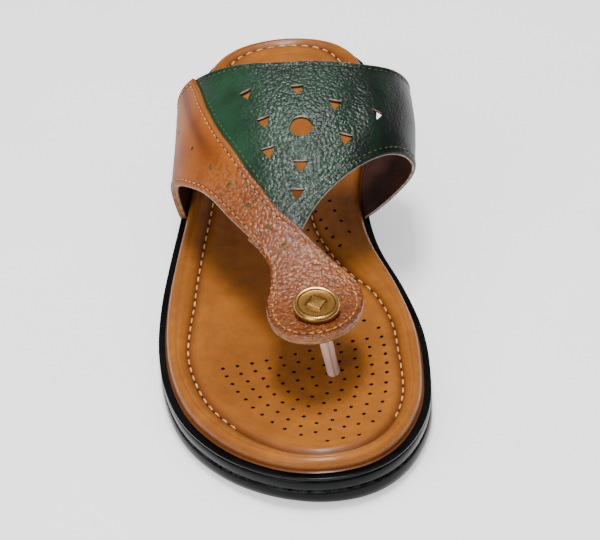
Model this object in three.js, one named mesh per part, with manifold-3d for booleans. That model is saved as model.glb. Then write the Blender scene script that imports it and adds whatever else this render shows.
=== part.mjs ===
// A women's toe-post sandal on a low wedge platform: the right shoe, standing empty on its sole.
// Units are millimetres. +Z is up, +Y points to the heel, +X to the inner side of the foot.
import * as THREE from 'three';
import { mergeVertices } from 'three/addons/utils/BufferGeometryUtils.js';
import Module from 'manifold-3d';

const wasm = await Module();
wasm.setup();

// Driving sizes
const LENGTH = 246; // sole at its rim, heel to toe
const GAP = 0.3; // air left between two pieces that touch
const STRAP_WALL = 1.5; // green leather with its lining
const OVERLAY_WALL = 1.1; // tan leather laid over it
const LEDGE = 2.5; // width of the sole's lip outside the footbed
const STRAP_FOOT = 1.3; // outer face of the straps there, outside the footbed
const PLAN_STEPS = 80; // points around the sole

// Plan of the sole's rim, a row for each section: where the lateral and medial edges lie.
const HEEL_TIP = { fromHeel: 0, across: 4.5 };
const TOE_TIP = { fromHeel: LENGTH, across: 6.5 };
const PLAN = [
  { fromHeel: 3.5, lateral: -12.5, medial: 21 },
  { fromHeel: 10, lateral: -21, medial: 29 },
  { fromHeel: 22, lateral: -27.5, medial: 35 },
  { fromHeel: 45, lateral: -31.2, medial: 36 },
  { fromHeel: 70, lateral: -33.6, medial: 32.2 },
  { fromHeel: 95, lateral: -36.8, medial: 28.4 },
  { fromHeel: 120, lateral: -41.3, medial: 30.6 },
  { fromHeel: 145, lateral: -45, medial: 38.2 },
  { fromHeel: 170, lateral: -46.2, medial: 43.2 },
  { fromHeel: 192, lateral: -43.9, medial: 43.6 },
  { fromHeel: 212, lateral: -37.5, medial: 41.5 },
  { fromHeel: 230, lateral: -25, medial: 34.2 },
  { fromHeel: 240, lateral: -12.8, medial: 25.8 },
  { fromHeel: 244.5, lateral: -3.8, medial: 17.5 },
];

// Heights of the sole, a row for each section: its rim, the step half way up its side, and its
// floor at the lateral and the medial edge.
const HEIGHTS = [
  { fromHeel: 0, rim: 38, step: 21.5, floorLateral: 0, floorMedial: 0 },
  { fromHeel: 25, rim: 35.8, step: 21, floorLateral: 0, floorMedial: 0 },
  { fromHeel: 50, rim: 31.2, step: 19.5, floorLateral: 0, floorMedial: 0 },
  { fromHeel: 70, rim: 26.8, step: 17, floorLateral: 2.4, floorMedial: 5.2 },
  { fromHeel: 90, rim: 22.6, step: 14.6, floorLateral: 4, floorMedial: 8.2 },
  { fromHeel: 115, rim: 18.6, step: 11.6, floorLateral: 2.6, floorMedial: 5.6 },
  { fromHeel: 145, rim: 15.2, step: 8.6, floorLateral: 0, floorMedial: 0 },
  { fromHeel: 175, rim: 13, step: 6.6, floorLateral: 0, floorMedial: 0 },
  { fromHeel: 208, rim: 12, step: 5.9, floorLateral: 0, floorMedial: 0 },
  { fromHeel: 230, rim: 12.4, step: 6.5, floorLateral: 0.9, floorMedial: 0.2 },
  { fromHeel: 246, rim: 13.6, step: 7.8, floorLateral: 2.6, floorMedial: 1.6 },
];

// Side of the sole from its top to its underside. A level is a fraction of the way between the
// two heights named, and out is measured from the plan.
const SOLE_SIDE = [
  { out: -15, from: 'rim', to: 'step', level: 0 },
  { out: -1, from: 'rim', to: 'step', level: 0 },
  { out: LEDGE - 0.4, from: 'rim', to: 'step', level: 0 },
  { out: LEDGE, from: 'rim', to: 'step', level: 0.06 },
  { out: LEDGE - 0.1, from: 'rim', to: 'step', level: 0.18 },
  { out: 1.3, from: 'rim', to: 'step', level: 0.25 },
  { out: 2.1, from: 'rim', to: 'step', level: 0.55 },
  { out: 2, from: 'rim', to: 'step', level: 0.88 },
  { out: 1, from: 'rim', to: 'step', level: 1 },
  { out: 2.2, from: 'step', to: 'floor', level: 0.14 },
  { out: 2.6, from: 'step', to: 'floor', level: 0.45 },
  { out: 1.9, from: 'step', to: 'floor', level: 0.8 },
  { out: 0, from: 'step', to: 'floor', level: 0.97 },
  { out: -2, from: 'step', to: 'floor', level: 1 },
  { out: -15, from: 'step', to: 'floor', level: 1 },
];

// Rim of the footbed, from its underside round to the dished middle. Up is from the sole's rim.
const FOOTBED_SIDE = [
  { out: -15, up: GAP },
  { out: -1, up: GAP },
  { out: -0.7, up: 0.9 },
  { out: -0.6, up: 2.2 },
  { out: -1.2, up: 4 },
  { out: -2.8, up: 5 },
  { out: -5.4, up: 5.1 },
  { out: -8.2, up: 4.3 },
  { out: -9.7, up: 3.3 },
  { out: -11, up: 4.2 },
  { out: -14.5, up: 4.1 },
];
const CROWN = -2.8; // out of the rim's crown: what lies further in follows the groove
const GROOVE = -9.7; // out of the groove in the rows above
// How far in from the plan the sewn groove runs. On the medial side it swings wide round the
// raised arch pad.
const GROOVE_PATH = [
  { fromHeel: 0, lateral: 5.2, medial: 5.2 },
  { fromHeel: 12, lateral: 6.2, medial: 7 },
  { fromHeel: 30, lateral: 7.6, medial: 8.2 },
  { fromHeel: 60, lateral: 9, medial: 12 },
  { fromHeel: 85, lateral: 9.4, medial: 17 },
  { fromHeel: 105, lateral: 9.5, medial: 19 },
  { fromHeel: 125, lateral: 9.8, medial: 16 },
  { fromHeel: 136, lateral: 10, medial: 13.5 },
  { fromHeel: 147, lateral: 10.1, medial: 10 },
  { fromHeel: 163, lateral: 9.1, medial: 8.2 },
  { fromHeel: 182, lateral: 7.6, medial: 8.1 },
  { fromHeel: 205, lateral: 7.7, medial: 6.9 },
  { fromHeel: 225, lateral: 7.9, medial: 6.2 },
  { fromHeel: 246, lateral: 7.2, medial: 7.2 },
];
const DISH_RINGS = [0.35, 0.7]; // fractions of the way in to the middle line
const DISH_LINE = { from: 32, to: 220 }; // where the middle line runs
// How far the dished middle lies below the footbed's groove edge.
const DISH = [
  { fromHeel: 12, depth: 0.6 },
  { fromHeel: 40, depth: 1.9 },
  { fromHeel: 90, depth: 0.7 },
  { fromHeel: 150, depth: 1.5 },
  { fromHeel: 200, depth: 1.7 },
  { fromHeel: 236, depth: 0.4 },
];

// The last under the straps, a row for each section: where its crest lies and how high.
const LAST_CREST = [
  { fromHeel: 36, across: 6, crest: 94 },
  { fromHeel: 64, across: 7, crest: 91 },
  { fromHeel: 95, across: 7.5, crest: 85.8 },
  { fromHeel: 117, across: 7.8, crest: 81.5 },
  { fromHeel: 130, across: 7.5, crest: 75.4 },
  { fromHeel: 145, across: 6.3, crest: 66 },
  { fromHeel: 160, across: 4.8, crest: 56 },
  { fromHeel: 174, across: 5.5, crest: 47.8 },
  { fromHeel: 193, across: 8, crest: 43.2 },
  { fromHeel: 215, across: 8.5, crest: 44 },
];
// The Bezier handles of each section's sides, which say how broad the crest is and how far each
// side swells past the sole.
const LAST_SIDES = [
  { fromHeel: 36, broadMedial: 30, broadLateral: 34, swellMedial: 12, swellLateral: 9 },
  { fromHeel: 64, broadMedial: 39, broadLateral: 37, swellMedial: 27, swellLateral: 9 },
  { fromHeel: 95, broadMedial: 42, broadLateral: 37, swellMedial: 37, swellLateral: 7 },
  { fromHeel: 117, broadMedial: 37, broadLateral: 31, swellMedial: 33, swellLateral: 4.5 },
  { fromHeel: 130, broadMedial: 32, broadLateral: 25, swellMedial: 27, swellLateral: 1.5 },
  { fromHeel: 145, broadMedial: 27, broadLateral: 20, swellMedial: 17, swellLateral: -2.5 },
  { fromHeel: 160, broadMedial: 24, broadLateral: 19, swellMedial: 9, swellLateral: -4 },
  { fromHeel: 174, broadMedial: 26, broadLateral: 22, swellMedial: 6, swellLateral: 0 },
  { fromHeel: 193, broadMedial: 30, broadLateral: 32, swellMedial: 5, swellLateral: 4 },
  { fromHeel: 215, broadMedial: 32, broadLateral: 34, swellMedial: 4, swellLateral: 4 },
];
const SWELL_LEVEL = 0.45; // height of the side handle between sole and crest
const NUDGE = 0.01; // step across the last to take its slope from
const CREST_REACH = 0.7; // places asked for by their across lie this near the crest
const HALVINGS = 40; // of that reach, to find one

// Edges of the band on the last. Round runs from -1 at the lateral sole to +1 at the medial sole.
const HEEL_EDGE = [
  { round: -1, fromHeel: 50 },
  { round: -0.75, fromHeel: 63 },
  { round: -0.5, fromHeel: 76.5 },
  { round: -0.25, fromHeel: 89 },
  { round: 0, fromHeel: 97 },
  { round: 0.2, fromHeel: 95.5 },
  { round: 0.4, fromHeel: 87.5 },
  { round: 0.6, fromHeel: 78 },
  { round: 0.8, fromHeel: 68 },
  { round: 1, fromHeel: 60 },
];
const MEDIAL_EDGE = [
  { round: 0, fromHeel: 162 },
  { round: 0.1, fromHeel: 151.5 },
  { round: 0.2, fromHeel: 143 },
  { round: 0.3, fromHeel: 135.5 },
  { round: 0.4, fromHeel: 129 },
  { round: 0.5, fromHeel: 124 },
  { round: 0.58, fromHeel: 120.5 },
  { round: 0.7, fromHeel: 114.5 },
  { round: 0.85, fromHeel: 108 },
  { round: 1, fromHeel: 105 },
];
const LATERAL_EDGE = [
  { round: -1, fromHeel: 97.5 },
  { round: -0.9, fromHeel: 99.5 },
  { round: -0.8, fromHeel: 104 },
  { round: -0.7, fromHeel: 112.5 },
  { round: -0.6, fromHeel: 123 },
  { round: -0.5, fromHeel: 134 },
  { round: -0.4, fromHeel: 148 },
  { round: -0.28, fromHeel: 160 },
];
const NECK_ROOT = { medial: 162, lateral: 160 }; // where the two front edges hand over to the neck

// Neck and toe tab: where its two edges lie across the last.
const NECK = [
  { fromHeel: 156, lateral: -15.5, medial: 1 },
  { fromHeel: 160, lateral: -13.6, medial: 3.4 },
  { fromHeel: 166, lateral: -9.6, medial: 8.2 },
  { fromHeel: 172, lateral: -6.8, medial: 14.4 },
  { fromHeel: 177, lateral: -6.6, medial: 19.4 },
  { fromHeel: 182, lateral: -7.4, medial: 22.9 },
  { fromHeel: 190, lateral: -8.8, medial: 23.8 },
  { fromHeel: 215, lateral: -10, medial: 22.2 },
];
const TAB_END = { straightTo: 190, roundTo: 213 }; // its end is half an ellipse

// The seam from the heel edge down to the neck, where the overlay ends on the green leather.
const SEAM = [
  { fromHeel: 78, round: -0.47 },
  { fromHeel: 90, round: -0.425 },
  { fromHeel: 102, round: -0.39 },
  { fromHeel: 116, round: -0.36 },
  { fromHeel: 127, round: -0.32 },
  { fromHeel: 137, round: -0.275 },
  { fromHeel: 146, round: -0.21 },
  { fromHeel: 154, round: -0.13 },
  { fromHeel: 162, round: 0 },
];

// The loop between the toes, and the badge on the tab.
const POST = { fromHeel: 191.5, acrossTop: 8.4, acrossFoot: 12.4, wide: 4.6, long: 6.8, bow: 0.5 };
const POST_TOP = 41; // just under the tab
const POST_STEPS = { down: 6, round: 16 };
const HOLE_REACH = 1.2; // of the post's length that its hole runs down
// The badge leans toward the toe: its heel side stands off the tab by its lean.
const BADGE = { fromHeel: 197, across: 8, long: 14.8, wide: 17, turn: 0.2, lean: 0.17 };
const BADGE_STEPS = 32; // points round it
// Rings of the badge from its middle over its rim to its underside. Size is a fraction of its
// outline, pointed says how far the ring turns from an ellipse to a lozenge.
const BADGE_RINGS = [
  { size: 0.12, pointed: 1, up: 2.6 },
  { size: 0.4, pointed: 1, up: 2.5 },
  { size: 0.5, pointed: 1, up: 1.9 },
  { size: 0.76, pointed: 0, up: 1.8 },
  { size: 0.83, pointed: 0, up: 2.3 },
  { size: 0.92, pointed: 0, up: 2.3 },
  { size: 1, pointed: 0, up: 1.4 },
  { size: 0.98, pointed: 0, up: 0 },
  { size: 0.4, pointed: 0, up: 0 },
];

// Cut-outs of the band, placed across the last and along it. The triangles point to the toe.
const ROUND_HOLE = { fromHeel: 128, across: 7.6, radius: 4 };
const TRIANGLE_SIDE = 5.3;
const TRIANGLES = [
  { fromHeel: 112, across: 7.4 },
  { fromHeel: 108, across: -11.2 },
  { fromHeel: 119, across: 20.2 },
  { fromHeel: 123, across: -5.5 },
  { fromHeel: 118, across: 35 },
  { fromHeel: 134, across: -4.6 },
  { fromHeel: 131, across: 23 },
  { fromHeel: 141, across: 6.4 },
  { fromHeel: 150, across: 4.3 },
];
const CUT_REACH = 6; // how far a cutter reaches to each side of the leather
const ARC_STEPS = 12; // points round each of the round hole's arcs
const MERGE = 1e-5; // points nearer than this are one

// How finely the sheets are divided.
const BAND_STEPS = { lateral: 18, neck: 10, medial: 20, down: 13, neckDown: 14 };
const HEEL_SPLIT = { lateral: -0.3, medial: 0.03 }; // heel edge behind the neck's two edges
const OVERLAY_STEPS = { rise: 10, seam: 20, neckDown: 14, across: 8 };

const vector = (x, y, z) => new THREE.Vector3(x, y, z);
const lengthwise = (fromHeel) => LENGTH / 2 - fromHeel; // station to Y
const { lerp } = THREE.MathUtils;

// A smooth curve through one column of a table, by cubic pieces. It is level at its peaks and
// along its flats.
function column(rows, key, name) {
  const at = rows.map((row) => row[key]);
  const value = rows.map((row) => row[name]);
  const last = at.length - 1;
  const rise = (i) => (value[i + 1] - value[i]) / (at[i + 1] - at[i]);
  const slope = value.map((_, i) => {
    if (i === 0) return rise(0);
    if (i === last) return rise(last - 1);
    if (rise(i - 1) * rise(i) <= 0) return 0;
    return (value[i + 1] - value[i - 1]) / (at[i + 1] - at[i - 1]);
  });
  return (x) => {
    let i = 0;
    while (i < last - 1 && x > at[i + 1]) i += 1;
    const span = at[i + 1] - at[i];
    const t = THREE.MathUtils.clamp((x - at[i]) / span, 0, 1);
    const t2 = t * t;
    const t3 = t2 * t;
    return (2 * t3 - 3 * t2 + 1) * value[i] + (t3 - 2 * t2 + t) * span * slope[i]
      + (3 * t2 - 2 * t3) * value[i + 1] + (t3 - t2) * span * slope[i + 1];
  };
}

// A table's columns as functions of the one named first.
function columns(rows) {
  const [key, ...names] = Object.keys(rows[0]);
  return Object.fromEntries(names.map((name) => [name, column(rows, key, name)]));
}

const height = columns(HEIGHTS);
const plan = columns(PLAN);
const last = { ...columns(LAST_CREST), ...columns(LAST_SIDES) };
const neck = columns(NECK);
const dishDepth = columns(DISH).depth;
const groove = columns(GROOVE_PATH);
const heelEdge = columns(HEEL_EDGE).fromHeel;
const medialEdge = columns(MEDIAL_EDGE).fromHeel;
const lateralEdge = columns(LATERAL_EDGE).fromHeel;
const seamRound = columns(SEAM).round;

// Fractions from 0 to 1, evenly or bunched at both ends.
const even = (count) => Array.from({ length: count + 1 }, (_, i) => i / count);
const bunched = (count) => even(count).map((t) => (1 - Math.cos(Math.PI * t)) / 2);

// The plan as evenly spaced points from the heel along the medial side to the toe and back, each
// with its outward direction.
function planRing() {
  const corners = [
    vector(HEEL_TIP.across, lengthwise(HEEL_TIP.fromHeel), 0),
    ...PLAN.map((row) => vector(row.medial, lengthwise(row.fromHeel), 0)),
    vector(TOE_TIP.across, lengthwise(TOE_TIP.fromHeel), 0),
    ...PLAN.map((row) => vector(row.lateral, lengthwise(row.fromHeel), 0)).reverse(),
  ];
  const curve = new THREE.CatmullRomCurve3(corners, true, 'centripetal');
  const points = curve.getSpacedPoints(PLAN_STEPS).slice(0, PLAN_STEPS);
  return points.map((point, i) => {
    const before = points[(i + PLAN_STEPS - 1) % PLAN_STEPS];
    const after = points[(i + 1) % PLAN_STEPS];
    const along = after.clone().sub(before).normalize();
    return { point, outward: vector(-along.y, along.x, 0), side: 2 * i < PLAN_STEPS ? 'medial' : 'lateral' };
  });
}
const PLAN_RING = planRing();

// A ring of the plan moved outward, with its height and its out from functions of the place.
function ring(heightAt, outAt) {
  return PLAN_RING.map((place) => {
    const moved = place.point.clone().addScaledVector(place.outward, outAt(place));
    moved.z = heightAt(LENGTH / 2 - moved.y, moved.x);
    return moved;
  });
}

// A geometry from points and the corners of its triangles.
function meshGeometry(points, faces) {
  const geometry = new THREE.BufferGeometry();
  const flat = points.flatMap((point) => point.toArray());
  geometry.setAttribute('position', new THREE.Float32BufferAttribute(flat, 3));
  geometry.setIndex(faces.flat());
  geometry.computeVertexNormals();
  return geometry;
}

// A closed solid through rings that run clockwise seen from above, from the middle of its top,
// over its side, to the middle of its underside. Both end rings are closed from side to side.
function ringSolid(rings) {
  const count = rings[0].length;
  const faces = [];
  for (let r = 0; r < rings.length - 1; r += 1) {
    for (let i = 0; i < count; i += 1) {
      const next = (i + 1) % count;
      const [a, b, c, d] = [r * count + i, r * count + next, (r + 1) * count + next, (r + 1) * count + i];
      faces.push([a, b, c], [a, c, d]);
    }
  }
  const close = (start, upward) => {
    for (let i = 0; i < count / 2; i += 1) {
      const corners = [i, i + 1, count - i - 1, (count - i) % count];
      const strip = corners.filter((corner, k) => corners.indexOf(corner) === k);
      if (upward) strip.reverse();
      for (let k = 1; k < strip.length - 1; k += 1) {
        faces.push([start + strip[0], start + strip[k], start + strip[k + 1]]);
      }
    }
  };
  close(0, true);
  close((rings.length - 1) * count, false);
  return meshGeometry(rings.flat(), faces);
}

// The moulded sole: flat on top, a lip, two bands with a step between, and a raised arch.
function soleGeometry() {
  const floorOf = (fromHeel, across) => {
    const lateral = plan.lateral(fromHeel);
    const share = THREE.MathUtils.clamp((across - lateral) / (plan.medial(fromHeel) - lateral), 0, 1);
    return lerp(height.floorLateral(fromHeel), height.floorMedial(fromHeel), share);
  };
  const levels = { rim: height.rim, step: height.step, floor: floorOf };
  return ringSolid(SOLE_SIDE.map((row) => ring(
    (fromHeel, across) => lerp(levels[row.from](fromHeel), levels[row.to](fromHeel, across), row.level),
    () => row.out,
  )));
}

// A ring drawn in toward the footbed's middle line and sunk by the dish.
function dishRing(outer, inward) {
  return outer.map((point) => {
    const along = THREE.MathUtils.clamp(LENGTH / 2 - point.y, DISH_LINE.from, DISH_LINE.to);
    const middle = (plan.medial(along) + plan.lateral(along)) / 2;
    const moved = point.clone().lerp(vector(middle, lengthwise(along), 0), inward);
    const fromHeel = LENGTH / 2 - moved.y;
    const sunk = dishDepth(fromHeel) * (1 - (1 - inward) ** 2);
    moved.z = height.rim(fromHeel) + FOOTBED_SIDE.at(-1).up - sunk;
    return moved;
  });
}

// A footbed row's out where the groove lies nearer or further in: the rim's slope is stretched
// to it, and what lies inside the groove moves along with it.
function outByGroove(out, { point, side }) {
  if (out >= CROWN) return out;
  const width = groove[side](LENGTH / 2 - point.y);
  if (out <= GROOVE) return out - GROOVE - width;
  return lerp(CROWN, -width, (out - CROWN) / (GROOVE - CROWN));
}

// The toe post, an oval bar from the tab to the footbed's underside, or the hole it stands in,
// which is wider and reaches further down.
function postGeometry(reach, extra) {
  const foot = height.rim(POST.fromHeel) + GAP;
  const rings = even(POST_STEPS.down).map((step) => {
    const t = reach * step;
    const across = lerp(POST.acrossTop, POST.acrossFoot, t) + POST.bow * Math.sin(Math.PI * t);
    return even(POST_STEPS.round).slice(1).map((turn) => vector(
      across + (POST.wide / 2 + extra) * Math.cos(2 * Math.PI * turn),
      lengthwise(POST.fromHeel) - (POST.long / 2 + extra) * Math.sin(2 * Math.PI * turn),
      lerp(POST_TOP, foot, t),
    ));
  });
  return ringSolid(rings);
}

// The footbed: a padded rim, a groove and a dished middle, with the hole for the toe post.
function footbedGeometry() {
  const side = FOOTBED_SIDE.map((row) => ring(
    (fromHeel) => height.rim(fromHeel) + row.up,
    (place) => outByGroove(row.out, place),
  ));
  const dish = DISH_RINGS.map((inward) => dishRing(side.at(-1), inward));
  const body = ringSolid([...dish.reverse(), ...side.reverse()]);
  const hole = postGeometry(HOLE_REACH, 2 * GAP);
  return fromManifold(toManifold(body).subtract(toManifold(hole)));
}

// The last's own surface. Round runs from -1 at the lateral sole over the crest to +1.
function lastSurface(round, fromHeel) {
  const side = round < 0 ? -1 : 1;
  const edge = side < 0 ? plan.lateral(fromHeel) : plan.medial(fromHeel);
  const broad = side < 0 ? last.broadLateral(fromHeel) : last.broadMedial(fromHeel);
  const swell = side < 0 ? last.swellLateral(fromHeel) : last.swellMedial(fromHeel);
  const y = lengthwise(fromHeel);
  const crest = vector(last.across(fromHeel), y, last.crest(fromHeel));
  const foot = vector(edge + side * STRAP_FOOT, y, height.rim(fromHeel) + GAP);
  const shoulder = vector(crest.x + side * broad, y, crest.z);
  const flank = vector(foot.x + side * swell, y, lerp(foot.z, crest.z, SWELL_LEVEL));
  return new THREE.CubicBezierCurve3(crest, shoulder, flank, foot).getPoint(Math.abs(round));
}

// A point off the last's surface, along its outward normal. At the sole it stays level.
function offLast({ round, fromHeel }, out) {
  const point = lastSurface(round, fromHeel);
  const about = lastSurface(round + NUDGE, fromHeel).sub(lastSurface(round - NUDGE, fromHeel));
  const along = lastSurface(round, fromHeel + 1).sub(lastSurface(round, fromHeel - 1));
  const outer = point.clone().addScaledVector(along.cross(about).normalize(), out);
  if (Math.abs(round) === 1) outer.z = point.z;
  return outer;
}

// The place on the last that lies a given way across, near its crest.
function placeAcross(across, fromHeel) {
  let low = -CREST_REACH;
  let high = CREST_REACH;
  for (let i = 0; i < HALVINGS; i += 1) {
    const middle = (low + high) / 2;
    if (lastSurface(middle, fromHeel).x < across) low = middle;
    else high = middle;
  }
  return { round: (low + high) / 2, fromHeel };
}

// A place on the neck or tab. Across runs from 0 at its lateral edge to 1, down from 0 at the
// band to 1 at the tab's rounded end.
function neckPlace(across, down) {
  const root = lerp(NECK_ROOT.lateral, NECK_ROOT.medial, across);
  const bow = Math.sqrt(Math.max(0, 1 - (2 * across - 1) ** 2));
  const fromHeel = lerp(root, lerp(TAB_END.straightTo, TAB_END.roundTo, bow), down);
  return placeAcross(lerp(neck.lateral(fromHeel), neck.medial(fromHeel), across), fromHeel);
}

// Places evenly between two others.
const between = (from, to, steps) => even(steps).map((t) => ({
  round: lerp(from.round, to.round, t),
  fromHeel: lerp(from.fromHeel, to.fromHeel, t),
}));

// The lateral front edge, from the sole to the neck.
function lateralFront(steps) {
  const neckRound = neckPlace(0, 0).round;
  return even(steps).map((t) => ({
    round: lerp(-1, neckRound, t),
    fromHeel: lateralEdge(lerp(-1, LATERAL_EDGE.at(-1).round, t)),
  }));
}

// The band as rows from its heel edge to its front edge, each from the lateral to the medial sole.
function bandRows() {
  const { lateral, neck: middle, medial, down } = BAND_STEPS;
  const neckRound = neckPlace(1, 0).round;
  const front = [
    ...lateralFront(lateral).slice(0, -1),
    ...bunched(middle).map((t) => neckPlace(t, 0)),
    ...even(medial).slice(1).map((t) => ({ round: lerp(neckRound, 1, t), fromHeel: medialEdge(t) })),
  ];
  const heel = [
    ...even(lateral).slice(0, -1).map((t) => lerp(-1, HEEL_SPLIT.lateral, t)),
    ...bunched(middle).map((t) => lerp(HEEL_SPLIT.lateral, HEEL_SPLIT.medial, t)),
    ...even(medial).slice(1).map((t) => lerp(HEEL_SPLIT.medial, 1, t)),
  ].map((round) => ({ round, fromHeel: heelEdge(round) }));
  const lines = front.map((place, i) => between(heel[i], place, down));
  return even(down).map((_, r) => lines.map((line) => line[r]));
}

// The overlay as rows from the lateral sole to the tab's end, each from its front edge back to
// the heel edge and then the seam.
function overlayRows() {
  const { rise, seam, across, neckDown } = OVERLAY_STEPS;
  const peak = SEAM[0];
  const back = [
    ...even(rise).slice(0, -1).map((t) => lerp(-1, peak.round, t))
      .map((round) => ({ round, fromHeel: heelEdge(round) })),
    { round: peak.round, fromHeel: heelEdge(peak.round) },
    ...even(seam).slice(1, -1).map((t) => lerp(heelEdge(peak.round), NECK_ROOT.medial, t))
      .map((fromHeel) => ({ round: seamRound(fromHeel), fromHeel })),
  ];
  const front = lateralFront(back.length);
  const side = back.map((place, i) => between(front[i], place, across));
  const tab = even(neckDown).map((down) => bunched(across).map((t) => neckPlace(t, down)));
  return [...side, ...tab];
}

// Joins grids of places on the last into one sheet, then gives it thickness. A grid's rows run
// down toward the toe, or up from the lateral sole when they start at the front edge.
function leatherWall(grids, inner, outer) {
  const places = [];
  const known = new Map();
  const indexOf = (place) => {
    const key = `${place.round.toFixed(6)} ${place.fromHeel.toFixed(5)}`;
    if (!known.has(key)) known.set(key, places.push(place) - 1);
    return known.get(key);
  };
  const top = [];
  grids.forEach((rows) => rows.slice(1).forEach((row, r) => row.slice(1).forEach((corner, i) => {
    const [a, b, c, d] = [rows[r][i], rows[r][i + 1], corner, row[i]].map(indexOf);
    top.push([a, c, b], [a, d, c]);
  })));
  const sheet = top.filter((face) => new Set(face).size === 3);
  const count = places.length;
  const points = [outer, inner].flatMap((out) => places.map((place) => offLast(place, out)));
  const under = sheet.map(([a, b, c]) => [a + count, c + count, b + count]);
  const edges = new Set(sheet.flatMap(([a, b, c]) => [`${a} ${b}`, `${b} ${c}`, `${c} ${a}`]));
  const rim = [...edges].map((edge) => edge.split(' ').map(Number))
    .filter(([a, b]) => !edges.has(`${b} ${a}`))
    .flatMap(([a, b]) => [[b, a, a + count], [b, a + count, b + count]]);
  return meshGeometry(points, [...sheet, ...under, ...rim]);
}

// Solids for boolean cuts, and back.
function toManifold(geometry) {
  const bare = geometry.clone();
  bare.deleteAttribute('normal');
  bare.deleteAttribute('uv');
  const merged = mergeVertices(bare, MERGE);
  return new wasm.Manifold(new wasm.Mesh({
    numProp: 3,
    vertProperties: new Float32Array(merged.attributes.position.array),
    triVerts: new Uint32Array(merged.index.array),
  }));
}
function fromManifold(solid) {
  const mesh = solid.getMesh();
  const geometry = new THREE.BufferGeometry();
  geometry.setAttribute('position', new THREE.BufferAttribute(mesh.vertProperties, 3));
  geometry.setIndex(new THREE.BufferAttribute(mesh.triVerts, 1));
  geometry.computeVertexNormals();
  return geometry;
}

// A cutter through the band: a flat shape laid on the last and pushed through it.
function bandCutter(hole, shape) {
  const place = placeAcross(hole.across, hole.fromHeel);
  const origin = offLast(place, 0);
  const outward = offLast(place, 1).sub(origin);
  const toeward = lastSurface(place.round, hole.fromHeel + 1).sub(origin);
  const sideways = toeward.cross(outward).normalize().negate();
  const heelward = outward.clone().cross(sideways);
  const options = { depth: 2 * CUT_REACH, bevelEnabled: false, curveSegments: ARC_STEPS };
  const cutter = new THREE.ExtrudeGeometry(shape, options);
  cutter.translate(0, 0, -CUT_REACH);
  cutter.applyMatrix4(new THREE.Matrix4().makeBasis(sideways, heelward, outward).setPosition(origin));
  return toManifold(cutter);
}

// The green band, neck and tab as one wall, with its holes cut through.
function upperGeometry() {
  const { neck: middle, neckDown } = BAND_STEPS;
  const tab = even(neckDown).map((down) => bunched(middle).map((t) => neckPlace(t, down)));
  const wall = toManifold(leatherWall([bandRows(), tab], -STRAP_WALL, 0));
  const circle = new THREE.Shape().absarc(0, 0, ROUND_HOLE.radius, 0, 2 * Math.PI);
  const reach = TRIANGLE_SIDE / Math.sqrt(3);
  const corners = [Math.PI / 6, Math.PI * 5 / 6, -Math.PI / 2];
  const triangle = new THREE.Shape(corners
    .map((angle) => new THREE.Vector2(reach * Math.cos(angle), reach * Math.sin(angle))));
  const holes = TRIANGLES.map((hole) => bandCutter(hole, triangle));
  const cutters = [bandCutter(ROUND_HOLE, circle), ...holes];
  return fromManifold(cutters.reduce((solid, cutter) => solid.subtract(cutter), wall));
}

// The tan leather over the lateral side, the neck and the tab.
function overlayGeometry() {
  return leatherWall([overlayRows()], GAP, GAP + OVERLAY_WALL);
}

// The oval badge: a raised rim round a plain lozenge, laid on the overlay.
function badgeGeometry() {
  const seat = 2 * GAP + OVERLAY_WALL;
  const rings = BADGE_RINGS.map((row) => even(BADGE_STEPS).slice(1).map((turn) => {
    const angle = -2 * Math.PI * turn;
    const lozenge = 1 / (Math.abs(Math.cos(angle)) + Math.abs(Math.sin(angle)));
    const reach = row.size * lerp(1, lozenge, row.pointed) / 2;
    const along = reach * BADGE.long * Math.cos(angle);
    const over = reach * BADGE.wide * Math.sin(angle);
    const across = BADGE.across + along * Math.cos(BADGE.turn) - over * Math.sin(BADGE.turn);
    const back = along * Math.sin(BADGE.turn) + over * Math.cos(BADGE.turn);
    const lift = Math.min(row.up, 1) * (back + BADGE.wide / 2) * BADGE.lean;
    return offLast(placeAcross(across, BADGE.fromHeel - back), seat + row.up + lift);
  }));
  return ringSolid(rings);
}

// A named piece with its own material.
function piece(name, geometry, color, roughness, metalness = 0) {
  const mesh = new THREE.Mesh(geometry, new THREE.MeshStandardMaterial({ color, roughness, metalness }));
  mesh.name = name;
  return mesh;
}

const sandal = new THREE.Group();
sandal.name = 'platform_sandal';
sandal.add(
  piece('outsole', soleGeometry(), 0x1c2224, 0.3),
  piece('footbed', footbedGeometry(), 0xa8672c, 0.5),
  piece('upper', upperGeometry(), 0x2f5a42, 0.45),
  piece('strap_overlay', overlayGeometry(), 0xa8672c, 0.45),
  piece('toe_post', postGeometry(1, 0), 0xc9a08a, 0.4),
  piece('ornament', badgeGeometry(), 0xb8924a, 0.3, 1),
);

// The frame's origin is the middle of the underside.
const bounds = new THREE.Box3().setFromObject(sandal);
const middle = bounds.getCenter(vector(0, 0, 0));
sandal.children.forEach((mesh) => mesh.geometry.translate(-middle.x, -middle.y, -bounds.min.z));

export default sandal;
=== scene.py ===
"""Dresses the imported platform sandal: moulded sole, padded footbed, leather straps, stitches and badge."""

import logging
import math
from collections.abc import Callable
from dataclasses import dataclass
from enum import Enum

import bmesh
import bpy
import numpy as np
from mathutils import Matrix, Vector


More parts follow.
